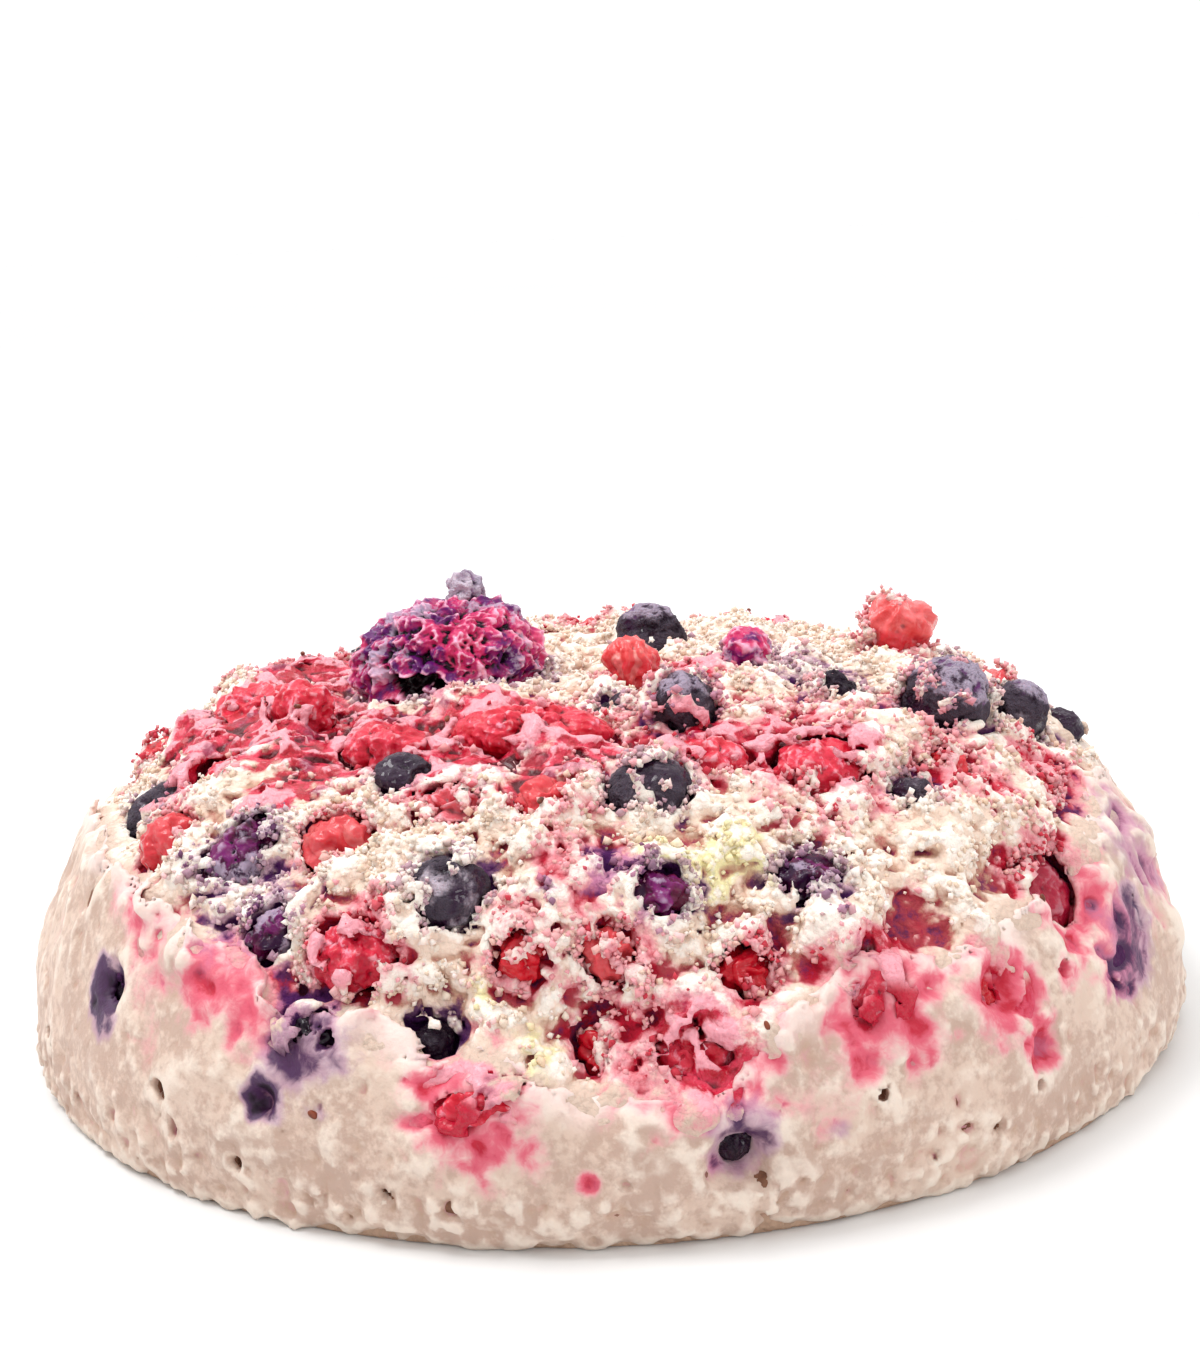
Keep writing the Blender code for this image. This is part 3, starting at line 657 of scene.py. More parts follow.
def crumb_field(points, sizes):
    """How far outside the crumb each point lies, in millimetres."""
    down, out = DOME.read(points)
    fade, common, skin, crags, below = RELIEF.read(points, down)
    bare = bare_share(below)
    sunk = (1 - bare) * (fade * skin - 0.9)
    field = out - fade * (common + bare * crags) - sunk
    shown = open_share(below)
    near = np.nonzero((np.abs(field) < 2.6) & (shown > 0.01))[0]
    field[near] -= crumb_relief(points[near], shown[near], sizes)

    for one in ALL_FRUIT:
        near = box_of(points, one.middle, one.reach + FRUIT_MARGIN)
        if len(near):
            here = points[near]
            away = one.outside(here)
            edge = 0.8 * LATTICE.smooth(here, 1.5, 4.4)
            opened = np.maximum(field[near], edge + 0.15 - away)
            level = 1.25 * (1 - 2 * one.cover)
            lying = film(here) - 0.5 * level - 0.28 * (here - one.middle) @ one.out / one.reach
            rough = 0.45 + 0.35 * LATTICE.clumps(here, 1.3, 7.7)
            field[near] = np.minimum(opened, np.maximum(away - rough, 0.1 - 1.6 * lying))
    return np.maximum(dug(points, field, 0.9), BATTER_FOOT - points[:, 2])


def skin_field(points, sizes):
    """How far outside the skin each point lies, in millimetres."""
    down, out = DOME.read(points)
    fade, common, skin, _, below = RELIEF.read(points, down)
    rough = out - fade * (common + skin) + 0.25
    field = np.maximum(np.maximum(rough, -rough - sizes.skin_thickness), -below)
    chosen = np.nonzero((rough < 2.6) & (rough > -4.5) & (below > -4.0))[0]
    if not len(chosen):
        return np.maximum(field, BATTER_FOOT - points[:, 2])
    all_points, points = points, points[chosen]
    tatter = 1.5 * LATTICE.smooth(points, 3.4, 2.2) + 0.7 * LATTICE.smooth(points, 1.3, 6.1)
    inside = below[chosen] + tatter - 0.4
    curl = 1 - smooth_step(0.0, 4.5, inside)
    lift = curl * (2.4 * np.maximum(LATTICE.smooth(points, 4.0, 8.2) - 0.1, 0) - 0.9)
    foot = 1 - smooth_step(3.0, 10.0, points[:, 2])
    waves = 0.30 * LATTICE.smooth(points, 4.6, 0.9) + 0.12 * LATTICE.smooth(points, 1.7, 5.5)
    upright = points * np.array((1, 1, 0.4), np.float32)
    folded = patches(points, FOLDED_PATCHES, 0.0)
    waves += folded * (0.35 - 1.3 * np.abs(LATTICE.smooth(upright, 3.6, 6.3)))
    lumpy = smooth_step(-0.3, 0.5, LATTICE.smooth(points, 8.0, 1.9)) * (0.45 + 0.55 * foot)
    waves += lumpy * 0.55 * np.maximum(LATTICE.clumps(points, 2.9, 4.9), -0.3)
    porous = np.maximum(LATTICE.smooth(points, 1.4, 3.9) - (0.50 - 0.22 * foot), 0)
    grit = foot * (0.6 * LATTICE.clumps(points, 2.1, 1.1) + 0.25 * LATTICE.smooth(points, 0.9, 2.5) - 0.2)
    edge = points[:, 2] + 1.1 * LATTICE.smooth(points, 2.4, 3.1) + 0.6 * LATTICE.smooth(points, 9.0, 8.3)
    grit -= 0.9 * (1 - smooth_step(-0.2, 0.9, edge))
    stained = patches(points, RED_STAINS, 0.2 * LATTICE.smooth(points, 3.0, 7.2))
    gouges = 1.1 * stained * smooth_step(0.0, 0.5, LATTICE.smooth(points, 2.4, 9.6))
    outer = rough[chosen] + gouges - fade[chosen] * lift - waves - grit + (1.6 - 0.3 * foot) * porous
    depth = sizes.skin_thickness * (1 - 0.6 * curl) + gouges
    part = np.maximum(np.maximum(outer, -outer - depth), -inside)
    for one in ALL_FRUIT:
        near = box_of(points, one.middle, one.reach + FRUIT_MARGIN)
        if len(near):
            edge = 0.7 * LATTICE.smooth(points[near], 2.0, 4.4)
            hole = one.outside(points[near]) + 0.15 + 2.2 * max(one.cover - 0.2, 0) - edge
            part[near] = np.maximum(part[near], -hole)
    field[chosen] = dug(points, part, 1.0)
    return np.maximum(field, BATTER_FOOT - all_points[:, 2])


def solid_from(field, cell, sizes, band, top, inner):
    """A closed surface where the field is 0, built on a grid: points and four-sided faces.

    The field is worked out within about band of the smooth dome, up to the height top. Deeper in it
    is inner.
    """
    low = np.array((-GRID_HALF, -GRID_HALF, -1.6 * cell))
    high = np.array((GRID_HALF, GRID_HALF, top))
    blocks = np.ceil((high - low) / (cell * BLOCK)).astype(int)
    steps = tuple(blocks * BLOCK)
    middles = (np.indices(blocks).reshape(3, -1).T + 0.5) * cell * BLOCK + low
    _, out = DOME.read(middles)
    reach = band + BLOCK * cell * 0.9
    cube = np.where(out < 0, inner, 9.0).astype(np.float32).reshape(blocks)
    values = cube.repeat(BLOCK, 0).repeat(BLOCK, 1).repeat(BLOCK, 2)
    heights = np.arange(steps[2]) * cell + low[2]
    values = np.maximum(values, -heights[None, None, :].astype(np.float32))
    near = np.argwhere((np.abs(out) < reach).reshape(blocks))
    inside = np.indices((BLOCK,) * 3).reshape(3, -1).T
    for start in range(0, len(near), BLOCKS_AT_ONCE):
        cells = (near[start:start + BLOCKS_AT_ONCE, None, :] * BLOCK + inside[None]).reshape(-1, 3)
        points = (cells * cell + low).astype(np.float32)
        values[tuple(cells.T)] = field(points, sizes)
    return surface_of(values, low, cell)


def without_specks(points, faces, least=250):
    """The same surface without its small loose parts."""
    a = faces.ravel()
    b = np.roll(faces, 1, axis=1).ravel()
    label = np.arange(len(points))
    while True:
        new = label.copy()
        least_of = np.minimum(label[a], label[b])
        np.minimum.at(new, a, least_of)
        np.minimum.at(new, b, least_of)
        new = new[new]
        if (new == label).all():
            break
        label = new
    kept = np.bincount(label, minlength=len(points))[label] >= least
    number = np.cumsum(kept) - 1
    return points[kept], number[faces[kept[faces[:, 0]]]]


def surface_of(values, low, cell):
    """Naive surface nets: one point in each cell that the surface crosses."""
    inside = values < 0
    corners = [tuple(corner) for corner in CORNERS.tolist()]
    shape = tuple(n - 1 for n in values.shape)

    def part(array, corner):
        i, j, k = corner
        return array[i:i + shape[0], j:j + shape[1], k:k + shape[2]]

    total = np.zeros(shape, np.int8)
    for corner in corners:
        total += part(inside, corner)
    active = (total > 0) & (total < 8)
    cells = np.argwhere(active)
    number = np.full(shape, -1, np.int32)
    number[active] = np.arange(len(cells))

    held = {c: values[cells[:, 0] + c[0], cells[:, 1] + c[1], cells[:, 2] + c[2]] for c in corners}
    place = np.zeros((len(cells), 3))
    hits = np.zeros(len(cells))
    for first in corners:
        for axis in range(3):
            if first[axis]:
                continue
            second = tuple(first[n] + (n == axis) for n in range(3))
            a, b = held[first], held[second]
            cross = (a < 0) != (b < 0)
            share = np.where(cross, a / np.where(cross, a - b, 1), 0)
            point = np.tile(np.array(first, float), (len(cells), 1))
            point[:, axis] += share
            place[cross] += point[cross]
            hits += cross
    points = (cells + place / hits[:, None]) * cell + low

    quads = []
    for axis in range(3):
        u, v = (axis + 1) % 3, (axis + 2) % 3
        first = inside.take(range(values.shape[axis] - 1), axis)
        second = inside.take(range(1, values.shape[axis]), axis)
        edges = np.argwhere(first != second)
        edges = edges[(edges[:, u] > 0) & (edges[:, v] > 0)]
        edges = edges[(edges[:, u] < shape[u]) & (edges[:, v] < shape[v])]
        leaving = first[tuple(edges.T)]
        around = []
        for du, dv in ((1, 1), (0, 1), (0, 0), (1, 0)):
            at = edges.copy()
            at[:, u] -= du
            at[:, v] -= dv
            around.append(number[tuple(at.T)])
        quad = np.stack(around, 1)
        quad[~leaving] = quad[~leaving][:, ::-1]
        quads.append(quad)
    return without_specks(points, np.concatenate(quads))


def mesh_object(name, points, faces):
    """A smooth-shaded mesh object from points in millimetres."""
    mesh = bpy.data.meshes.new(name)
    sides = faces.shape[1]
    mesh.vertices.add(len(points))
    mesh.vertices.foreach_set("co", (points * MM).astype(np.float32).ravel())
    mesh.loops.add(faces.size)
    mesh.loops.foreach_set("vertex_index", faces.astype(np.int32).ravel())
    mesh.polygons.add(len(faces))
    mesh.polygons.foreach_set("loop_start", np.arange(0, faces.size, sides, dtype=np.int32))
    mesh.update(calc_edges=True)
    mesh.validate()
    mesh.shade_smooth()
    obj = bpy.data.objects.new(name, mesh)
    bpy.context.scene.collection.objects.link(obj)
    return obj


def without_twins(mesh):
    """Takes out the later of any two faces that join the same points.

    The mesh's own validate picks one of the two anew in each run, so none is left for it to pick.
    """
    made = bmesh.new()
    made.from_mesh(mesh)
    known, twins = set(), []
    for face in made.faces:
        key = frozenset(v.index for v in face.verts)
        if key in known:
            twins.append(face)
        known.add(key)
    bmesh.ops.delete(made, geom=twins, context="FACES_ONLY")
    made.to_mesh(mesh)
    made.free()


def thinned(obj):
    """The object with at most FACES_LIMIT triangles, kept where the surface bends."""
    obj.data.calc_loop_triangles()
    count = len(obj.data.loop_triangles)
    if count > FACES_LIMIT:
        modifier = obj.modifiers.new("fewer faces", "DECIMATE")
        modifier.ratio = FACES_LIMIT / count
        seen = bpy.context.evaluated_depsgraph_get()
        mesh = bpy.data.meshes.new_from_object(obj.evaluated_get(seen), depsgraph=seen)
        obj.modifiers.clear()
        old = obj.data
        obj.data = mesh
        bpy.data.meshes.remove(old)
        without_twins(mesh)
        mesh.validate()
        mesh.shade_smooth()
    return obj


def read_all(items, key, width, kind=np.float32):
    """One property of all of a mesh's points, edges or faces, as rows of that width."""
    found = np.zeros(len(items) * width, kind)
    items.foreach_get(key, found)
    return found.reshape(-1, width)


def points_of(obj):
    """The points of an object's mesh, in millimetres."""
    return read_all(obj.data.vertices, "co", 3) / MM


def keep_values(obj, **columns):
    """Stores a number for each point under each name."""
    for name, values in columns.items():
        layer = obj.data.attributes.new(name, "FLOAT", "POINT")
        layer.data.foreach_set("value", np.asarray(values, np.float32))


def keep_map(obj, uv):
    """Stores the map for baking, a place for each corner of each face."""
    layer = obj.data.uv_layers.new(name="OFBake")
    layer.data.foreach_set("uv", uv.astype(np.float32).ravel())


def stain_values(obj, points):
    """Stores how red, purple and yellow the batter is, how mashed, and how bare of skin."""
    ragged = 0.30 * LATTICE.smooth(points, 4.0, 1.3) + 0.22 * LATTICE.smooth(points, 1.5, 2.9)
    red = patches(points, RED_STAINS, ragged)
    purple = patches(points, PURPLE_STAINS, ragged)
    for one in ALL_FRUIT:
        near = box_of(points, one.middle, one.reach + FRUIT_MARGIN)
        away = one.outside(points[near])
        juice = 1 - smooth_step(0.0, 2.4, away + 2.0 * ragged[near])
        if one.kind in ("raspberry", "redcurrant"):
            red[near] = np.maximum(red[near], juice * 0.7)
        else:
            purple[near] = np.maximum(purple[near], juice * (0.62 if one.kind == "bramble" else 0.45))
    yellow = patches(points, YELLOW_PATCHES, 1.3 * ragged)
    pulp = patches(points, PULP_PATCHES, ragged)
    down, _ = DOME.read(points)
    bare = open_share(RELIEF.read(points, down)[4])
    keep_values(obj, red=red, purple=purple, yellow=yellow, pulp=pulp, bare=bare)


def flat_map(obj, points):
    """A map for baking: the top spread out as one disc, the underside as another."""
    mesh = obj.data
    down, _ = DOME.read(points)
    bearing = np.arctan2(points[:, 1], points[:, 0])
    loops = read_all(mesh.loops, "vertex_index", 1, np.int32)[:, 0]
    normals = read_all(mesh.polygons, "normal", 3)
    middles = read_all(mesh.polygons, "center", 3)
    under = (normals[:, 2] < UNDER_SLOPE) & (middles[:, 2] < UNDER_HEIGHT * MM)
    under = np.repeat(under, read_all(mesh.polygons, "loop_total", 1, np.int32)[:, 0])
    middle, radius = TOP_DISC
    rho = down[loops] / (DOME.down[-1] * MAP_MARGIN) * radius
    angle = bearing[loops]
    uv = np.stack((middle + rho * np.cos(angle), middle + rho * np.sin(angle)), 1)
    middle, radius = UNDER_DISC
    uv[under] = (points[loops][:, :2] / UNDER_REACH * radius)[under] + middle
    keep_map(obj, uv)


class Value:
    """A number or socket in a material, which sums up as plain arithmetic."""

    def __init__(self, tree, socket):
        self.tree, self.socket = tree, socket

    def _math(self, operation, *others):
        node = self.tree.nodes.new("ShaderNodeMath")
        node.operation = operation
        for slot, other in zip(node.inputs, others):
            feed(self.tree, slot, other)
        return Value(self.tree, node.outputs[0])

    def __add__(self, other):
        return self._math("ADD", self, other)

    __radd__ = __add__

    def __mul__(self, other):
        return self._math("MULTIPLY", self, other)

    __rmul__ = __mul__

    def __sub__(self, other):
        return self._math("SUBTRACT", self, other)

    def __rsub__(self, other):
        return self._math("SUBTRACT", other, self)

    def step(self, low, high):
        """0 up to low, 1 from high, and smooth between them."""
        node = self.tree.nodes.new("ShaderNodeMapRange")
        node.interpolation_type = "SMOOTHSTEP"
        feed(self.tree, node.inputs["Value"], self)
        node.inputs["From Min"].default_value = low
        node.inputs["From Max"].default_value = high
        return Value(self.tree, node.outputs["Result"])


def feed(tree, slot, value):
    """Links a socket or Value to the slot, or sets the slot to a number or colour."""
    if isinstance(value, Value):
        tree.links.new(value.socket, slot)
    elif isinstance(value, bpy.types.NodeSocket):
        tree.links.new(value, slot)
    elif hasattr(slot.default_value, "__len__") and not hasattr(value, "__len__"):
        slot.default_value = (value,) * len(slot.default_value)
    elif hasattr(value, "__len__") and len(value) == 3 and len(slot.default_value) == 4:
        slot.default_value = (*value, 1)
    else:
        slot.default_value = value


class Finish:
    """A material under construction."""

    def __init__(self, name, **constants):
        self.material = bpy.data.materials.new(name)
        self.material.use_nodes = True
        self.tree = self.material.node_tree
        self.shader = self.tree.nodes["Principled BSDF"]
        for key, value in constants.items():
            feed(self.tree, self.shader.inputs[key.replace("_", " ")], value)
        self.where = self.node("ShaderNodeTexCoord", {}, {}).outputs["Object"]

    def node(self, kind, settings, values):
        made = self.tree.nodes.new(kind)
        for key, value in settings.items():
            setattr(made, key, value)
        for key, value in values.items():
            feed(self.tree, made.inputs[key], value)
        return made

    def stored(self, name):
        """The number that the mesh keeps for each point under that name."""
        made = self.node("ShaderNodeAttribute", {"attribute_name": name}, {})
        return Value(self.tree, made.outputs["Fac"])

    def noise(self, size, detail=2.0, rough=0.5, distortion=0.0):
        """Noise round 0.5 whose lumps are about that many millimetres."""
        values = {
            "Vector": self.where, "Scale": 1 / (size * MM), "Detail": detail,
            "Roughness": rough, "Distortion": distortion,
        }
        return Value(self.tree, self.node("ShaderNodeTexNoise", {}, values).outputs["Fac"])

    def cells(self, size):
        """How far the nearest of some scattered points is, 0 at the point itself."""
        values = {"Vector": self.where, "Scale": 1 / (size * MM)}
        made = self.node("ShaderNodeTexVoronoi", {}, values)
        return Value(self.tree, made.outputs["Distance"])

    def mix(self, share, first, second):
        """The first colour where share is 0, the second where it is 1."""
        made = self.node("ShaderNodeMix", {"data_type": "RGBA", "clamp_factor": True}, {})
        feed(self.tree, made.inputs[0], share)
        feed(self.tree, made.inputs[6], first)
        feed(self.tree, made.inputs[7], second)
        return made.outputs[2]

    def bump(self, height, strength, distance):
        values = {"Strength": strength, "Distance": distance * MM, "Height": height}
        made = self.node("ShaderNodeBump", {}, values)
        feed(self.tree, self.shader.inputs["Normal"], made.outputs[0])

    def set(self, **links):
        for key, value in links.items():
            feed(self.tree, self.shader.inputs[key.replace("_", " ")], value)
        return self.material


def averaged(rows, a, b, degree):
    """Rows that are each the mean of their neighbours' rows."""
    total = np.zeros_like(rows)
    for axis in range(3):
        here = rows[:, axis]
        total[:, axis] = np.bincount(a, here[b], len(rows)) + np.bincount(b, here[a], len(rows))
    return total / degree[:, None]


def ridge_values(obj, fine=0.45, broad=0.9, near=12, far=70):
    """Stores how far each point stands out of its neighbourhood: 0 in pits, 1 on ridges.

    ridge goes by the points round about, and broad by a wider neighbourhood.
    """
    points = points_of(obj).astype(np.float64)
    a, b = read_all(obj.data.edges, "vertices", 2, np.int32).T
    degree = np.bincount(a, minlength=len(points)) + np.bincount(b, minlength=len(points)) + 1e-9
    normals = read_all(obj.data.vertices, "normal", 3)
    flat = points.copy()
    found = {}
    for step in range(1, far + 1):
        flat = averaged(flat, a, b, degree)
        if step in (near, far):
            found[step] = ((points - flat) * normals).sum(1)
            if step == near:
                for _ in range(NORMAL_ROUNDS):
                    normals = averaged(normals, a, b, degree)
                normals = normals / (np.linalg.norm(normals, axis=1)[:, None] + 1e-9)
    keep_values(
        obj,
        ridge=np.clip(0.5 + found[near] / (2 * fine), 0, 1),
        broad=np.clip(0.5 + found[far] / (2 * broad), 0, 1),
    )


def juiced(finish, base, colours, blotch, stands):
    """The smooth batter's colour and what the juice has made of it, less so where it stands out."""
    streak = finish.noise(1.7, 3.0, 0.6, 1.5)
    red = finish.stored("red") + (streak - 0.5) * 0.5 + (blotch - 0.5) * 0.4 - stands
    base = finish.mix(red.step(0.0, 0.55) * 0.75, base, BLUSH)
    base = finish.mix(red.step(0.26, 0.68) * 0.9, base, STAIN)
    base = finish.mix(red.step(0.66, 0.95), base, colours.red)
    purple = finish.stored("purple") + (streak - 0.5) * 0.5 - stands * 0.8
    base = finish.mix(purple.step(0.05, 0.55) * 0.6, base, MAUVE)
    base = finish.mix(purple.step(0.45, 0.85) * 0.95, base, colours.purple)
    return finish.mix(purple.step(0.90, 1.30) * 0.9, base, BLACKISH)


def crumb_finish(colours):
    """Torn crumb: a painted highlight on its clumps, juice and painted shade in its pores, wet pulp, and
    the crumb under the skin in painted shade above its browner foot.
    """
    finish = Finish("torn crumb", Subsurface_Weight=0.08, Subsurface_Scale=0.001, Specular_IOR_Level=0.2)
    feed(finish.tree, finish.shader.inputs["Subsurface Radius"], BATTER_SPREAD)
    ridge = finish.stored("ridge")
    broad = finish.stored("broad")
    grain = finish.noise(0.7, 3.0, 0.7)
    blotch = finish.noise(5.0, 3.0, 0.6)
    kernel = finish.cells(0.75)
    red = finish.stored("red") + (grain - 0.5) * 0.6 + (blotch - 0.5) * 0.7
    red = red - (ridge - 0.5) * 0.4 - (broad - 0.5) * 0.5
    purple = finish.stored("purple") + (grain - 0.5) * 0.7 - (ridge - 0.5) * 0.5 - (broad - 0.5) * 0.4
    # The painted shade for the crumb's pores and hollows: brown, dark red where red juice has soaked in,
    # dark purple where purple juice has.
    deep = finish.mix(red.step(0.1, 0.45), colours.crumb_pore_shade, RED_PORE_SHADE)
    deep = finish.mix(purple.step(0.3, 0.6), deep, PURPLE_PORE_SHADE)
    yellow = (finish.stored("yellow") + (grain - 0.5) * 0.5).step(0.25, 0.85)
    bare = finish.stored("bare")
    torn = bare.step(0.35, 0.8)
    base = finish.mix(yellow, finish.mix(torn, colours.skin_pale, colours.crumb), colours.yellow)
    # Painted highlight: the crumb's ridges and clump tops go near white.
    base = finish.mix((ridge + (0.4 - kernel) * 0.5).step(0.55, 0.85) * torn * 0.9, base, CRUMB_HIGHLIGHT)
    base = finish.mix(red.step(0.14, 0.58) * 0.85, base, colours.pink)
    base = finish.mix(red.step(0.5, 0.9), base, colours.red)
    base = finish.mix(purple.step(0.25, 0.55) * 0.65, base, LILAC_CRUMB)
    base = finish.mix(purple.step(0.58, 0.85), base, colours.purple)
    # Painted shade: the crumb takes the deep colour in its pits and wider hollows.
    hollow = 0.58 - ridge + (0.5 - broad) * 0.8
    shade = hollow + (kernel - 0.4) * 0.35 + (blotch - 0.5) * 0.4
    base = finish.mix(shade.step(0.08, 0.5) * 0.85, base, deep)
    wet = (finish.stored("pulp") + (blotch - 0.5) * 0.9 + (grain - 0.5) * 0.4).step(0.30, 0.60)
    tone = finish.noise(2.2, 4.0, 0.65, 0.6)
    mash = finish.mix(tone.step(0.42, 0.58), MASH_DARK, MASH_BRIGHT)
    # Painted highlight: the pulp goes pale on its ridges and in some patches.
    mash = finish.mix((tone + (ridge - 0.5) * 0.9).step(0.62, 0.84), mash, MASH_HIGHLIGHT)
    mash = finish.mix(finish.noise(4.0, 3.0).step(0.58, 0.70) * 0.8, mash, MASH_BROWN)
    # Painted shade: the pulp goes near black in its creases and hollows.
    mash = finish.mix((0.80 - ridge - broad * 0.7).step(0.0, 0.35), mash, MASH_CREASE_SHADE)
    base = finish.mix(wet, base, mash)
    # The crumb under the skin: painted shade above its foot, and the rim's brown at the foot.
    under = finish.mix(finish.stored("foot"), CRUMB_UNDER_SHADE, colours.rim)
    under = juiced(finish, under, colours, blotch, 0.0)
    base = finish.mix(bare.step(0.05, 0.3), under, base)
    finish.bump((0.7 - kernel) + grain * 0.8 + finish.noise(0.3, 2.0) * 0.4, 0.7, 0.45)
    return finish.set(Base_Color=base, Roughness=0.85 - wet * 0.65, Coat_Weight=wet * 0.25)


def skin_finish(colours):
    """Smooth skin: blotches, a painted highlight on its ridges, a pale lip, painted shade in its hollows,
    a browner foot, and stains.
    """
    finish = Finish(
        "smooth skin", Subsurface_Weight=0.15, Subsurface_Scale=0.0015, Specular_IOR_Level=0.35,
    )
    feed(finish.tree, finish.shader.inputs["Subsurface Radius"], BATTER_SPREAD)
    ridge = finish.stored("ridge")
    grain = finish.noise(1.1, 3.0, 0.6)
    blotch = finish.noise(9.0, 4.0, 0.6)
    pale = (blotch + (grain - 0.5) * 0.7).step(0.40, 0.62)
    base = finish.mix(pale, colours.skin, colours.skin_pale)
    fleck = finish.noise(1.6, 2.0, 0.6).step(0.56, 0.70)
    base = finish.mix(fleck * 0.35, base, SKIN_FLECK)
    # Painted highlight: the skin goes pale on its ridges.
    base = finish.mix((ridge + (grain - 0.5) * 0.3).step(0.58, 0.85) * 0.6, base, SKIN_RIDGE_HIGHLIGHT)
    lip = (finish.stored("lip") + (blotch - 0.5) * 0.6).step(0.2, 0.9)
    base = finish.mix(lip * 0.7, base, SKIN_LIP)
    # Painted shade: the skin takes the rim's brown in its small and wide hollows.
    base = finish.mix((0.50 - ridge).step(0.0, 0.35) * 0.8, base, colours.rim)
    base = finish.mix((0.47 - finish.stored("broad")).step(0.0, 0.4) * 0.6, base, colours.rim)
    foot = finish.stored("foot")
    base = finish.mix((foot + (grain - 0.5) * 0.9).step(0.85, 1.4) * 0.6, base, SKIN_FOOT)
    stands = (ridge - 0.5) * 0.4 + (finish.stored("broad") - 0.5) * 0.5
    base = juiced(finish, base, colours, blotch, stands)
    finish.bump(grain + finish.noise(0.4, 2.0) * 0.5, 0.5, 0.25)
    return finish.set(Base_Color=base, Roughness=0.45 + foot * 0.3 + grain * 0.15)


def loose_crumb_finish(colours):
    """Loose crumbs: each one tone, with the juice of the place where it lies."""
    finish = Finish(
        "loose crumb", Roughness=0.8, Subsurface_Weight=0.15, Subsurface_Scale=0.001,
        Specular_IOR_Level=0.2,
    )
    feed(finish.tree, finish.shader.inputs["Subsurface Radius"], CRUMB_SPREAD)
    pick = finish.stored("pick")
    base = finish.mix(pick.step(0.1, 0.9), LOOSE_DULL, LOOSE_PALE)
    base = finish.mix(finish.stored("yellow").step(0.3, 0.8) * 0.8, base, colours.yellow)
    red = finish.stored("red") + (pick - 0.5) * 0.6
    base = finish.mix(red.step(0.2, 0.65) * 0.8, base, colours.pink)
    base = finish.mix(red.step(0.85, 1.0) * 0.9, base, colours.red)
    purple = finish.stored("purple") - (pick - 0.5) * 0.5
    base = finish.mix(purple.step(0.2, 0.7) * 0.75, base, LOOSE_LILAC)
    base = finish.mix(purple.step(0.72, 0.95) * 0.9, base, LOOSE_PURPLE)
    return finish.set(Base_Color=base)


def berry_finish(name, first, second, third, deep, size, **constants):
    """Wet crushed fruit: three tones in folds of that size, and the deep colour as painted shade in its
    creases.
    """
    finish = Finish(name, **constants)
    ridge = finish.stored("ridge")
    tone = finish.noise(size, 4.0, 0.6, 0.8)
    fine = finish.noise(size * 0.3, 3.0, 0.6)
    base = finish.mix(tone.step(0.38, 0.55), first, second)
    base = finish.mix((tone + (fine - 0.5) * 0.5).step(0.58, 0.7), base, third)
    # Painted shade: the fruit takes the deep colour in its creases and hollows.
    crease = 0.85 - ridge - finish.stored("broad") * 0.7 + (fine - 0.5) * 0.2
    base = finish.mix(crease.step(0.0, 0.4), base, deep)
    finish.bump(fine + finish.noise(0.5, 2.0) * 0.5, 0.5, 0.3)
    return finish, base, tone, ridge


def ball(divisions):
    """Directions and triangles of an even unit ball."""
    made = bmesh.new()
    bmesh.ops.create_icosphere(made, subdivisions=divisions, radius=1)
    made.verts.ensure_lookup_table()
    points = np.array([v.co for v in made.verts])
    faces = np.array([[v.index for v in f.verts] for f in made.faces])
    made.free()
    return points / np.linalg.norm(points, axis=1)[:, None], faces


BALLS = {n: ball(n) for n in (3, 5, 6, 7)}


def turned_to(axis):
    """Columns of a turned frame whose third axis is the given one."""
    axis = np.asarray(axis, float) / np.linalg.norm(axis)
    side = np.cross(axis, (0.31, 0.12, 0.94))
    side /= np.linalg.norm(side)
    return np.stack((side, np.cross(axis, side), axis), 1)


def spread(count, draw, jitter):
    """Directions spread over a ball, each pushed a little out of line."""
    index = np.arange(count) + 0.5
    height = 1 - 2 * index / count
    angle = math.pi * (3 - math.sqrt(5)) * index
    across = np.sqrt(1 - height**2)
    found = np.stack((across * np.cos(angle), across * np.sin(angle), height), 1)
    found += draw.normal(size=found.shape) * jitter / math.sqrt(count)
    return found / np.linalg.norm(found, axis=1)[:, None]


def lobes(local, one, spacing, draw):
    """1 on the middle of each drupelet, 0 in the creases between them."""
    area = 4 * math.pi * float(np.prod(one.half)) ** (2 / 3)
    centres = spread(max(int(area / (0.8 * spacing**2)), 12), draw, 0.6) * one.half
    closest = np.full(len(local), 99.0)
    for centre in centres:
        np.minimum(closest, ((local - centre) ** 2).sum(1), out=closest)
    return np.sqrt(np.maximum(1 - closest / (0.66 * spacing) ** 2, 0))


def berry_sink(one, local, draw, spacing=2.2, drupe=0.9, crush=1.0):
    """A crushed raspberry or bramble."""
    shift = draw.uniform(0, 90)
    bumps = lobes(local, one, spacing, draw)
    shown = 0.35 + 0.65 * smooth_step(-0.3, 0.3, LATTICE.smooth(local, 5.0, shift))
    folds = np.abs(LATTICE.smooth(local, 3.4, shift + 3))
    folds = folds + 0.5 * np.abs(LATTICE.smooth(local, 1.6, shift + 5))
    sink = drupe * shown * (1 - bumps) + crush * folds - 0.6 * LATTICE.smooth(local, 6.0, shift + 1)
    sink += 0.35 * crush * np.abs(LATTICE.smooth(local, 0.9, shift + 11))
    return sink - 0.14 * LATTICE.smooth(local, 0.8, shift + 7)


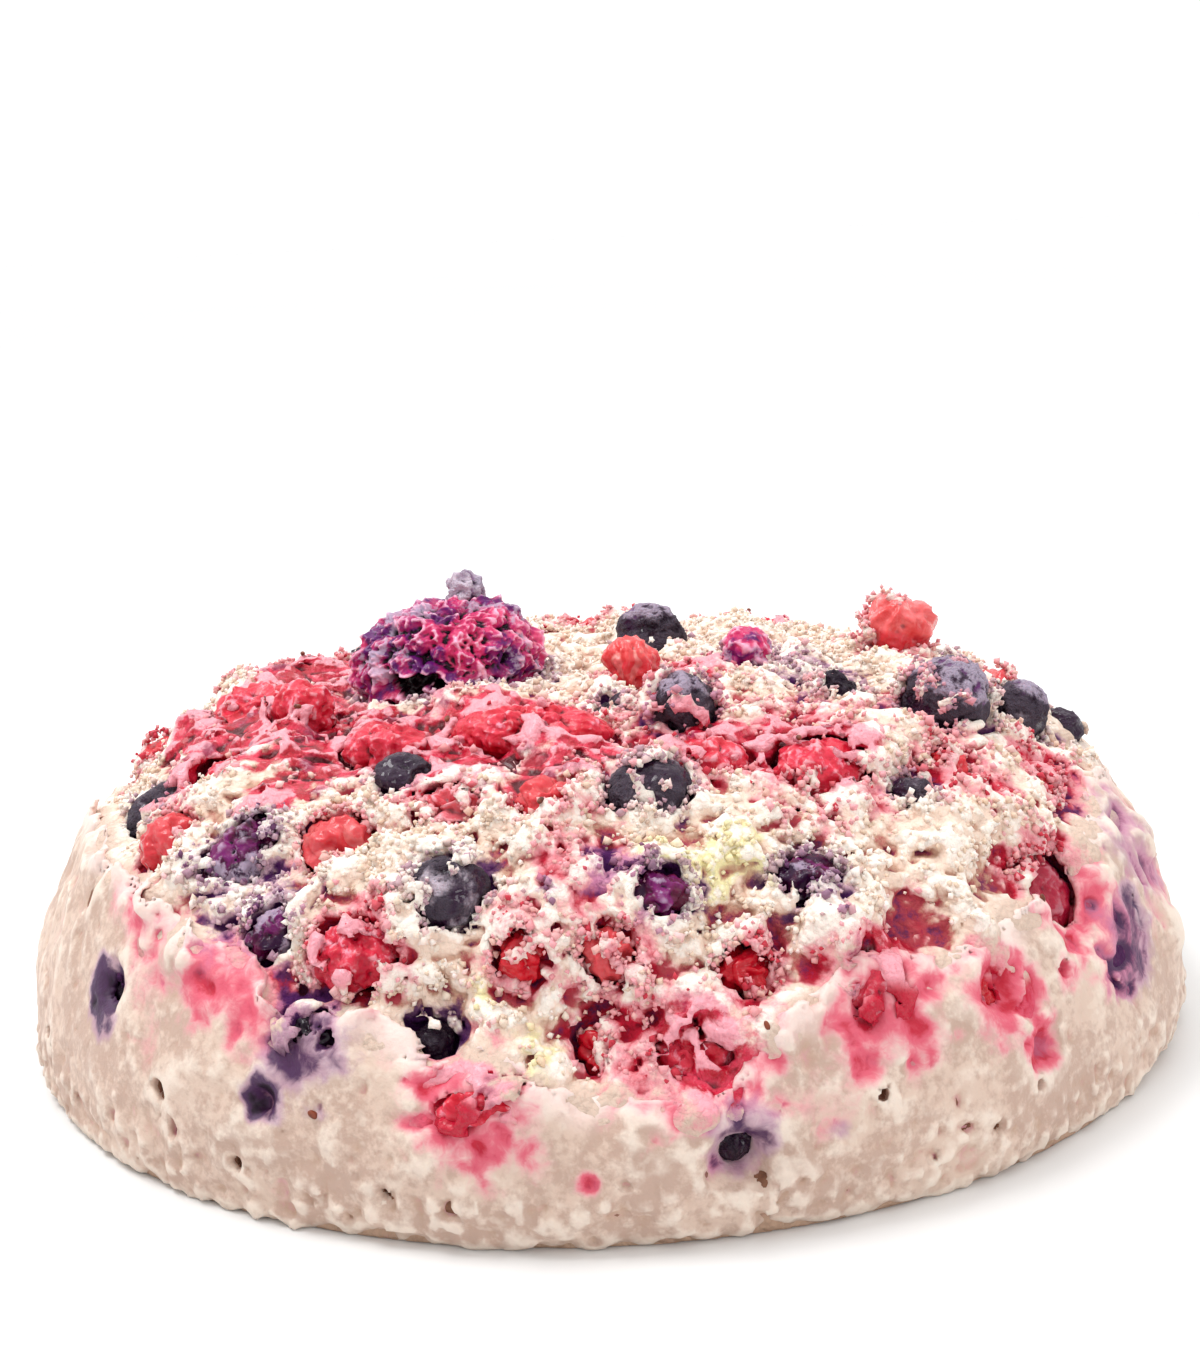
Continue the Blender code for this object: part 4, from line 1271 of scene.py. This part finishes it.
def petal_sink(ways, local, draw):
    """A berry burst open like a flower, with folds from its middle outwards."""
    shift = draw.uniform(0, 90)
    angle = np.arctan2(ways[:, 1], ways[:, 0]) + 0.6 * LATTICE.smooth(ways, 0.6, shift)
    petals = np.abs(np.cos(3.5 * angle))
    belt = np.sqrt(np.maximum(1 - ways[:, 2] ** 2, 0))
    folds = np.abs(LATTICE.smooth(local, 2.2, shift + 3))
    sink = 1.5 * petals * belt + 1.0 * folds + 0.9 * smooth_step(0.85, 1.0, ways[:, 2])
    return sink - 0.12 * LATTICE.smooth(local, 0.8, shift + 7)


def currant_sink(ways, local, draw):
    """A thin-skinned berry that has begun to wither, with creases from pole to pole."""
    shift = draw.uniform(0, 90)
    angle = np.arctan2(ways[:, 1], ways[:, 0]) + 0.5 * LATTICE.smooth(ways, 0.7, shift)
    ribs = 0.5 + 0.5 * np.cos(6 * angle + draw.uniform(0, 6))
    belt = np.sqrt(np.maximum(1 - ways[:, 2] ** 2, 0))
    dents = np.maximum(LATTICE.smooth(local, 3.2, shift + 4), 0)
    folds = np.abs(LATTICE.smooth(local, 1.7, shift + 6))
    sink = 0.7 * ribs * belt + 1.1 * dents + 0.6 * folds - 0.4 * LATTICE.smooth(local, 5.0, shift + 2)
    return sink - 0.14 * LATTICE.smooth(local, 0.7, shift + 8), ribs * belt


def blueberry_sink(ways, local, draw):
    """A ball with the blossom end's ragged crown, dented and wrinkled."""
    shift = draw.uniform(0, 90)
    away = np.arccos(np.clip(ways[:, 2], -1, 1))
    angle = np.arctan2(ways[:, 1], ways[:, 0])
    points = 0.5 + 0.5 * np.cos(5 * angle + 2.5 * LATTICE.smooth(ways, 0.6, shift))
    rim = np.exp(-(((away - 0.40) / 0.07) ** 2)) * (0.35 + 0.65 * points)
    cup = 1 - smooth_step(0.24, 0.38, away)
    wrinkles = np.abs(LATTICE.smooth(local, 1.9, shift + 2))
    creases = np.abs(LATTICE.smooth(local, 0.8, shift + 4))
    dents = np.maximum(LATTICE.smooth(local, 4.0, shift + 6), 0)
    sink = 0.6 * cup - 0.15 * rim + 0.55 * wrinkles + 1.3 * dents + 0.3 * creases
    return sink - 0.5 * LATTICE.smooth(local, 5.0, shift + 9)


def disc_map(ways, faces, tile, tiles):
    """Where each corner of a fruit's faces lies on its kind's map: two discs to a fruit."""
    facing = np.where(ways[faces].mean(1)[:, 2] < 0, -1.0, 1.0)
    corner = ways[faces]
    side = facing[:, None]
    rho = np.sqrt(np.maximum(1 - side * corner[..., 2], 0))
    flat = np.linalg.norm(corner[..., :2], axis=-1) + 1e-9
    uv = corner[..., :2] / flat[..., None] * rho[..., None]
    across = math.ceil(math.sqrt(tiles * 2))
    place = tile * 2 + (facing < 0)
    cell = np.stack((place % across, place // across), 1)[:, None, :]
    return (cell + 0.5 + uv * FRUIT_DISC) / across


def fruit_piece(name, kind, shape, detail):
    """All fruit of one kind as one mesh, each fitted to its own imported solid.

    shape gives how many millimetres each point sinks, and what else to store for it.
    """
    rows, triangles, maps, extra = [], [], [], {}
    start = 0
    for tile, one in enumerate(FRUIT[kind]):
        draw = np.random.default_rng(1000 + 37 * one.number + len(kind))
        ways, faces = BALLS[detail(one)]
        pole = one.out * 0.5 + draw.normal(size=3) * 0.45
        turn = turned_to(one.axes.T @ pole)
        local = (ways @ turn.T) * one.half
        sink, columns = shape(one, ways, local, draw)
        length = np.clip(1 - sink / np.linalg.norm(local, axis=1), 0.4, None)
        local *= (length / max(length.max(), 1.0))[:, None]
        rows.append(one.middle + local @ one.axes.T)
        columns["low"] = 1 - smooth_step(0.0, 2.2, DOME.read(rows[-1])[1])
        triangles.append(faces + start)
        maps.append(disc_map(ways, faces, tile, len(FRUIT[kind])))
        columns["tone"] = np.full(len(ways), one.tone)
        columns["pick"] = np.full(len(ways), draw.uniform())
        for key, values in columns.items():
            extra.setdefault(key, []).append(values)
        start += len(ways)
    points, faces = np.concatenate(rows), np.concatenate(triangles)
    obj = mesh_object(name, points, faces)
    keep_map(obj, np.concatenate(maps))
    keep_values(obj, **{key: np.concatenate(values) for key, values in extra.items()})
    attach(obj, "root")
    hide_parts(*[one.node for one in FRUIT[kind]])
    return obj


class BERRYCAKE_OT_crumb(bpy.types.Operator):
    """Builds the cake's crumb, torn open on top"""

    bl_idname = "berrycake.crumb"
    bl_label = "Crumb"

    def execute(self, context):
        sizes = context.scene.cake_sizes
        cell = sizes.cell * 1
        points, faces = solid_from(crumb_field, cell, sizes, band=5.2, top=45.0, inner=-9.0)
        obj = thinned(mesh_object("crumb", points, faces))
        points = points_of(obj)
        stain_values(obj, points)
        keep_values(obj, foot=1 - smooth_step(2.0, 4.0, points[:, 2]))
        ridge_values(obj)
        flat_map(obj, points)
        obj.data.materials.append(crumb_finish(context.scene.cake_colours))
        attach(obj, "root")
        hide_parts("cake")
        return {"FINISHED"}


class BERRYCAKE_OT_skin(bpy.types.Operator):
    """Builds the smooth skin round the wall, with its torn edge"""

    bl_idname = "berrycake.skin"
    bl_label = "Skin"

    def execute(self, context):
        sizes = context.scene.cake_sizes
        cell = sizes.skin_cell * 1
        points, faces = solid_from(skin_field, cell, sizes, band=4.2, top=38.0, inner=9.0)
        obj = thinned(mesh_object("skin", points, faces))
        points = points_of(obj)
        stain_values(obj, points)
        down, _ = DOME.read(points)
        lip = 1 - smooth_step(0.0, 6.0, RELIEF.read(points, down)[4])
        keep_values(obj, foot=1 - smooth_step(0.8, 3.5, points[:, 2]), lip=lip)
        ridge_values(obj)
        flat_map(obj, points)
        obj.data.materials.append(skin_finish(context.scene.cake_colours))
        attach(obj, "root")
        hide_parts("cake")
        return {"FINISHED"}


# The corners and faces of the eight-sided grain that every loose crumb starts from.
GRAIN_CORNERS = np.array(
    [(1, 0, 0), (-1, 0, 0), (0, 1, 0), (0, -1, 0), (0, 0, 1), (0, 0, -1)], float
)
GRAIN_SIDES = np.array(
    [(0, 2, 4), (2, 1, 4), (1, 3, 4), (3, 0, 4), (2, 0, 5), (1, 2, 5), (3, 1, 5), (0, 3, 5)]
)


class BERRYCAKE_OT_loose_crumbs(bpy.types.Operator):
    """Scatters loose crumbs over the torn top"""

    bl_idname = "berrycake.loose_crumbs"
    bl_label = "Loose crumbs"

    def execute(self, context):
        crumb = bpy.data.objects.get("crumb")
        if crumb is None:
            raise RuntimeError("the crumb has to be built first")
        draw = np.random.default_rng(5)
        surface = points_of(crumb)
        held = {}
        for name in ("pulp", "ridge", "bare"):
            held[name] = read_all(crumb.data.attributes[name].data, "value", 1)[:, 0]
        likely = smooth_step(0.7, 0.98, held["bare"]) * (1 - 0.96 * smooth_step(0.2, 0.6, held["pulp"]))
        likely *= smooth_step(0.35, 0.75, held["ridge"]) + 0.05
        likely *= 0.25 + smooth_step(-0.5, 0.4, LATTICE.smooth(surface, 3.5, 5.9))
        likely *= surface[:, 2] > 6
        likely /= likely.sum()
        count = context.scene.cake_sizes.loose_crumbs
        chosen = surface[draw.choice(len(surface), count, p=likely)]
        chosen = chosen + draw.normal(size=chosen.shape) * 0.22
        size = 0.2 + 0.16 * draw.uniform(size=count) + 0.3 * draw.uniform(size=count) ** 6
        grain = GRAIN_CORNERS[None] * (1 + 0.28 * draw.normal(size=(count, 6, 1)).clip(-1.5, 1.5))
        turns = np.linalg.qr(draw.normal(size=(count, 3, 3)))[0]
        turns *= np.sign(np.linalg.det(turns))[:, None, None]
        points = (grain @ turns * size[:, None, None] + chosen[:, None, :]).reshape(-1, 3)
        faces = (GRAIN_SIDES[None] + (np.arange(count) * 6)[:, None, None]).reshape(-1, 3)
        obj = mesh_object("loose_crumbs", points, faces)
        stain_values(obj, np.repeat(chosen, 6, 0))
        keep_values(obj, pick=np.repeat(draw.uniform(size=count), 6))
        obj.data.materials.append(loose_crumb_finish(context.scene.cake_colours))
        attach(obj, "root")
        return {"FINISHED"}


class BERRYCAKE_OT_seeds(bpy.types.Operator):
    """Lays a few brown seeds on the wall and in the pulp"""

    bl_idname = "berrycake.seeds"
    bl_label = "Seeds"

    def execute(self, context):
        trees = []
        for name in ("crumb", "skin"):
            points = points_of(bpy.data.objects[name])
            trees.append(KDTree(len(points)))
            for number, point in enumerate(points):
                trees[-1].insert(point, number)
            trees[-1].balance()
        draw = np.random.default_rng(8)
        ways, faces = BALLS[3]
        rows = []
        for place, way, size in SEEDS:
            bearing = math.radians(place)
            outward = DOME.points(bearing, way) * SEED_REACH
            spot = min((tree.find(Vector(outward)) for tree in trees), key=lambda hit: hit[2])[0]
            up = DOME.points(bearing, way - 0.5) - DOME.points(bearing, way + 0.5)
            turn = turned_to(up + draw.normal(size=3) * 0.35)
            rows.append(ways * SEED_SHAPE * size @ turn.T + np.array(spot))
        count = len(rows)
        faces = (faces[None] + (np.arange(count) * len(ways))[:, None, None]).reshape(-1, 3)
        obj = mesh_object("seeds", np.concatenate(rows), faces)
        finish = Finish("seed", Roughness=0.45, Specular_IOR_Level=0.4)
        tone = finish.noise(0.8, 3.0, 0.6)
        base = finish.mix(tone.step(0.35, 0.65), SEED_DARK, SEED_BROWN)
        obj.data.materials.append(finish.set(Base_Color=base))
        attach(obj, "root")
        return {"FINISHED"}


class BERRYCAKE_OT_brambles(bpy.types.Operator):
    """Builds the crushed dark berries and the clump on top"""

    bl_idname = "berrycake.brambles"
    bl_label = "Dark berries"

    def execute(self, context):
        def shape(one, ways, local, draw):
            middle, reach = CAVE
            away = np.linalg.norm((one.middle + local @ one.axes.T - middle) / reach, axis=1)
            ragged = 0.45 * LATTICE.smooth(local, 2.4) + 0.25 * LATTICE.smooth(local, 1.0, 3.0)
            cave = 1 - smooth_step(0.5, 1.0, away + ragged)
            if one.reach > CLUMP_REACH:
                sink = berry_sink(one, local, draw, spacing=3.2, drupe=1.5, crush=1.8)
                return sink + 2.0 * cave, {"cave": cave}
            return berry_sink(one, local, draw, spacing=2.0), {"cave": cave}

        def detail(one):
            return 7 if one.reach > CLUMP_REACH else 5

        obj = fruit_piece("dark_berries", "bramble", shape, detail)
        ridge_values(obj, fine=0.5)
        look = context.scene.fruit_colours
        finish, base, tone, ridge = berry_finish(
            "dark berry", look.violet, look.magenta, look.rose, look.ink_and_shade, 3.6,
            Subsurface_Weight=0.1, Subsurface_Scale=0.001, Coat_Weight=0.12, Coat_Roughness=0.15,
            Specular_IOR_Level=0.15,
        )
        patch = finish.noise(8.0, 2.0, 0.5)
        base = finish.mix((patch + (tone - 0.5) * 0.5).step(0.48, 0.58) * 0.85, base, CLUMP_RED)
        soaked = (0.45 - finish.stored("tone")).step(0.0, 0.3)
        base = finish.mix(soaked * 0.85, base, finish.mix(tone.step(0.45, 0.6), look.ink_and_shade, look.violet))
        ash = (finish.noise(2.6, 4.0, 0.65) - (patch - 0.5) * 0.5).step(0.55, 0.64)
        base = finish.mix(ash * 0.75, base, ASH)
        # Painted highlight: the dark berries go pale pink on their ridges, lilac on the soaked ones.
        pale = (ridge + (tone - 0.5) * 0.6 - soaked * 0.12).step(0.58, 0.84)
        base = finish.mix(pale * (0.8 - soaked * 0.35), base, finish.mix(soaked, PINK_HIGHLIGHT, LILAC_HIGHLIGHT))
        # Painted shade: the dark berries go near black in their creases and hollows.
        base = finish.mix((0.82 - ridge - finish.stored("broad") * 0.75).step(0.0, 0.3), base, look.ink_and_shade)
        # Painted shade: the cave under the clump goes near black.
        base = finish.mix(finish.stored("cave").step(0.15, 0.6), base, CAVE_SHADE)
        obj.data.materials.append(finish.set(Base_Color=base, Roughness=0.25 + ash * 0.35))
        return {"FINISHED"}


class BERRYCAKE_OT_raspberries(bpy.types.Operator):
    """Builds the crushed raspberries"""

    bl_idname = "berrycake.raspberries"
    bl_label = "Raspberries"

    def execute(self, context):
        def shape(one, ways, local, draw):
            if one.number in BURST_RASPBERRIES:
                return petal_sink(ways, local, draw), {}
            return berry_sink(one, local, draw), {}

        def detail(one):
            return 6 if one.reach > LARGE_REACH else 5

        obj = fruit_piece("raspberries", "raspberry", shape, detail)
        ridge_values(obj, fine=0.5)
        look = context.scene.fruit_colours
        finish, base, tone, ridge = berry_finish(
            "raspberry", look.crimson, RASPBERRY_RED, look.rose, RASPBERRY_CREASE_SHADE, 2.6,
            Subsurface_Weight=0.12, Subsurface_Scale=0.0012, Coat_Weight=0.2, Coat_Roughness=0.12,
            Specular_IOR_Level=0.2,
        )
        sheen = (ridge + (finish.noise(1.3, 3.0, 0.6) - 0.5) * 0.8).step(0.70, 0.92)
        base = finish.mix(sheen * 0.7, base, RASPBERRY_SHEEN)
        kind = finish.stored("tone") + (tone - 0.5) * 0.5
        base = finish.mix((kind - 0.6).step(0.0, 0.3) * 0.7, base, RASPBERRY_PALE)
        base = finish.mix((0.34 - kind).step(0.0, 0.3) * 0.7, base, RASPBERRY_DARK)
        base = finish.mix((-0.1 - kind).step(0.0, 0.2), base, look.ink_and_shade)
        obj.data.materials.append(finish.set(Base_Color=base, Roughness=0.22 + tone * 0.2))
        return {"FINISHED"}


class BERRYCAKE_OT_redcurrants(bpy.types.Operator):
    """Builds the withered redcurrants"""

    bl_idname = "berrycake.redcurrants"
    bl_label = "Redcurrants"

    def execute(self, context):
        def shape(one, ways, local, draw):
            sink, ribs = currant_sink(ways, local, draw)
            return sink, {"ribs": ribs}

        obj = fruit_piece("redcurrants", "redcurrant", shape, lambda one: 5)
        ridge_values(obj, fine=0.4)
        look = context.scene.fruit_colours
        finish, base, tone, _ = berry_finish(
            "redcurrant", look.scarlet, CURRANT_RED, look.vein, CURRANT_CREASE_SHADE, 3.4,
            Subsurface_Weight=0.15, Subsurface_Scale=0.0015, Coat_Weight=0.3, Coat_Roughness=0.08,
            Specular_IOR_Level=0.2,
        )
        kind = finish.stored("tone") + (tone - 0.5) * 0.5
        base = finish.mix((kind - 0.5).step(0.0, 0.4) * 0.7, base, CURRANT_PALE)
        vein = (finish.stored("ribs") + (tone - 0.5) * 0.8).step(0.72, 0.95)
        base = finish.mix(vein * 0.75, base, look.vein)
        base = finish.mix((0.36 - kind).step(0.0, 0.2) * 0.85, base, CURRANT_DARK)
        base = finish.mix((finish.stored("low") + (tone - 0.5)).step(0.5, 0.9) * 0.7, base, look.crimson)
        obj.data.materials.append(finish.set(Base_Color=base, Roughness=0.2 + vein * 0.2))
        return {"FINISHED"}


class BERRYCAKE_OT_blueberries(bpy.types.Operator):
    """Builds the blueberries"""

    bl_idname = "berrycake.blueberries"
    bl_label = "Blueberries"

    def execute(self, context):
        def shape(one, ways, local, draw):
            sink = blueberry_sink(ways, local, draw)
            if one.node == KNOB:
                sink += 1.6 * np.abs(LATTICE.smooth(local, 2.4, 5.5))
            return sink, {}

        obj = fruit_piece("blueberries", "blueberry", shape, lambda one: 5)
        ridge_values(obj, fine=0.4)
        look = context.scene.fruit_colours
        finish = Finish(
            "blueberry", Subsurface_Weight=0.05, Subsurface_Scale=0.001, Specular_IOR_Level=0.15,
        )
        ridge = finish.stored("ridge")
        blotch = finish.noise(4.0, 4.0, 0.65, 0.5)
        fine = finish.noise(0.7, 3.0, 0.6)
        kind = finish.stored("tone") - 0.5
        bloom = (blotch + (ridge - 0.5) * 0.9 + (fine - 0.5) * 0.9 + kind * 0.5).step(0.38, 0.66)
        base = finish.mix(bloom, look.slate, look.bloom)
        low = finish.stored("low")
        burst = (finish.noise(5.5, 2.0, 0.5) + (0.5 - ridge) * 0.4 + low * 0.12).step(0.58, 0.68)
        base = finish.mix(burst, base, look.violet)
        # Painted shade: the blueberries darken where they sink into the cake.
        base = finish.mix((low + (fine - 0.5) * 1.4).step(0.35, 0.75) * 0.85, base, look.ink_and_shade)
        base = finish.mix((kind + blotch - 0.7).step(0.0, 0.25) * 0.7, base, BLOOM_PALE)
        base = finish.mix((-0.25 - kind).step(0.0, 0.2) * 0.7, base, look.ink_and_shade)
        # Painted shade: the blueberries go near black in their creases.
        base = finish.mix((0.46 - ridge).step(0.0, 0.3), base, look.ink_and_shade)
        finish.bump(fine + finish.noise(0.35, 2.0) * 0.6, 1.0, 0.5)
        rough = 0.3 + bloom * 0.35
        obj.data.materials.append(finish.set(Base_Color=base, Roughness=rough, Coat_Weight=burst * 0.5))
        return {"FINISHED"}


class BERRYCAKE_OT_stage(bpy.types.Operator):
    """Lays the floor, and sets the lights and the camera"""

    bl_idname = "berrycake.stage"
    bl_label = "Stage"

    # The camera that took in the cake as the photograph does, in millimetres and degrees.
    EYE = (0.84, -224.2, 86.67)
    ELEVATION = 12.59
    ROLL = -2.6
    LENS = 52.9
    SENSOR = 36.0
    # The floor's near, far and side edges, in millimetres.
    NEAR = -1500.0
    FAR = 60000.0
    SIDE = 9000.0
    # Name, place and width in metres, and share of the key light's power.
    LIGHTS = (
        ("key", (-0.35, 0.05, 0.75), 0.35, 1.0),
        ("fill", (0.45, -0.65, 0.35), 0.3, 0.35),
    )
    AIM = Vector((0, 0, 0.02))

    def execute(self, context):
        scene = context.scene
        look = scene.stage_look
        near, far, side = self.NEAR, self.FAR, self.SIDE
        corners = np.array([(-side, near, 0), (side, near, 0), (side, far, 0), (-side, far, 0)])
        floor = mesh_object("floor", corners, np.array([[0, 1, 2, 3]]))
        paint = Finish("floor", Roughness=0.5)
        cloud = paint.noise(400.0, 2.0)
        pale = paint.mix(cloud * 0.1, look.floor, FLOOR_PALE)
        floor.data.materials.append(paint.set(Base_Color=pale))

        world = bpy.data.worlds.new("soft light")
        world.use_nodes = True
        tree = world.node_tree
        way = tree.nodes.new("ShaderNodeTexCoord").outputs["Generated"]
        apart = tree.nodes.new("ShaderNodeSeparateXYZ")
        tree.links.new(way, apart.inputs[0])
        behind = Value(tree, apart.outputs["Y"]).step(-0.5, 0.1)
        above = Value(tree, apart.outputs["Z"]).step(0.35, 0.95)
        strength = (behind * 0.45 + 0.55 + above * 0.5) * look.sky
        feed(tree, tree.nodes["Background"].inputs["Strength"], strength)
        tree.nodes["Background"].inputs["Color"].default_value = (1, 1, 1, 1)
        scene.world = world
        scene.view_settings.view_transform = "Standard"

        for name, place, size, share in self.LIGHTS:
            self.light(context, name, place, size, look.key_power * share)
        self.camera(context)
        return {"FINISHED"}

    def light(self, context, name, place, size, power):
        data = bpy.data.lights.new(name, "AREA")
        data.shape = "DISK"
        data.size = size
        data.energy = power
        obj = bpy.data.objects.new(name, data)
        obj.location = place
        aim = self.AIM - Vector(place)
        obj.rotation_euler = aim.to_track_quat("-Z", "Y").to_euler()
        context.scene.collection.objects.link(obj)

    def camera(self, context):
        lift, roll = math.radians(self.ELEVATION), math.radians(self.ROLL)
        right = Vector((1, 0, 0))
        up = Vector((0, math.sin(lift), math.cos(lift)))
        ahead = Vector((0, math.cos(lift), -math.sin(lift)))
        across = right * math.cos(roll) + up * math.sin(roll)
        upright = up * math.cos(roll) - right * math.sin(roll)
        turn = Matrix((across, upright, -ahead)).transposed().to_4x4()
        data = bpy.data.cameras.new("camera")
        data.lens = self.LENS
        data.sensor_width = self.SENSOR
        data.clip_start = 0.005
        camera = bpy.data.objects.new("camera", data)
        camera.matrix_world = Matrix.Translation(Vector(self.EYE) * MM) @ turn
        context.scene.collection.objects.link(camera)
        context.scene.camera = camera


class VIEW3D_PT_berry_cake(bpy.types.Panel):
    """Lists the steps in the sidebar"""

    bl_label = "Berry bowl cake"
    bl_space_type = "VIEW_3D"
    bl_region_type = "UI"
    bl_category = "Bowl cake"

    def draw(self, context):
        for step in STEPS:
            self.layout.operator(step.bl_idname)
        for group in GROUPS:
            settings = getattr(context.scene, group)
            for key in settings.__annotations__:
                self.layout.prop(settings, key)


GROUPS = {
    "cake_sizes": CakeSizes,
    "cake_colours": CakeColours,
    "fruit_colours": FruitColours,
    "stage_look": StageLook,
}
STEPS = (
    BERRYCAKE_OT_stage,
    BERRYCAKE_OT_crumb,
    BERRYCAKE_OT_skin,
    BERRYCAKE_OT_loose_crumbs,
    BERRYCAKE_OT_seeds,
    BERRYCAKE_OT_brambles,
    BERRYCAKE_OT_raspberries,
    BERRYCAKE_OT_redcurrants,
    BERRYCAKE_OT_blueberries,
)


def register():
    for made in (*GROUPS.values(), *STEPS, VIEW3D_PT_berry_cake):
        bpy.utils.register_class(made)
    for name, group in GROUPS.items():
        setattr(bpy.types.Scene, name, bpy.props.PointerProperty(type=group))


def unregister():
    for name in GROUPS:
        delattr(bpy.types.Scene, name)
    for made in (VIEW3D_PT_berry_cake, *STEPS[::-1], *reversed(GROUPS.values())):
        bpy.utils.unregister_class(made)


def main():
    register()
    for step in STEPS:
        area, name = step.bl_idname.split(".")
        getattr(getattr(bpy.ops, area), name)()
    bpy.context.view_layer.update()


if __name__ == "__main__":
    main()
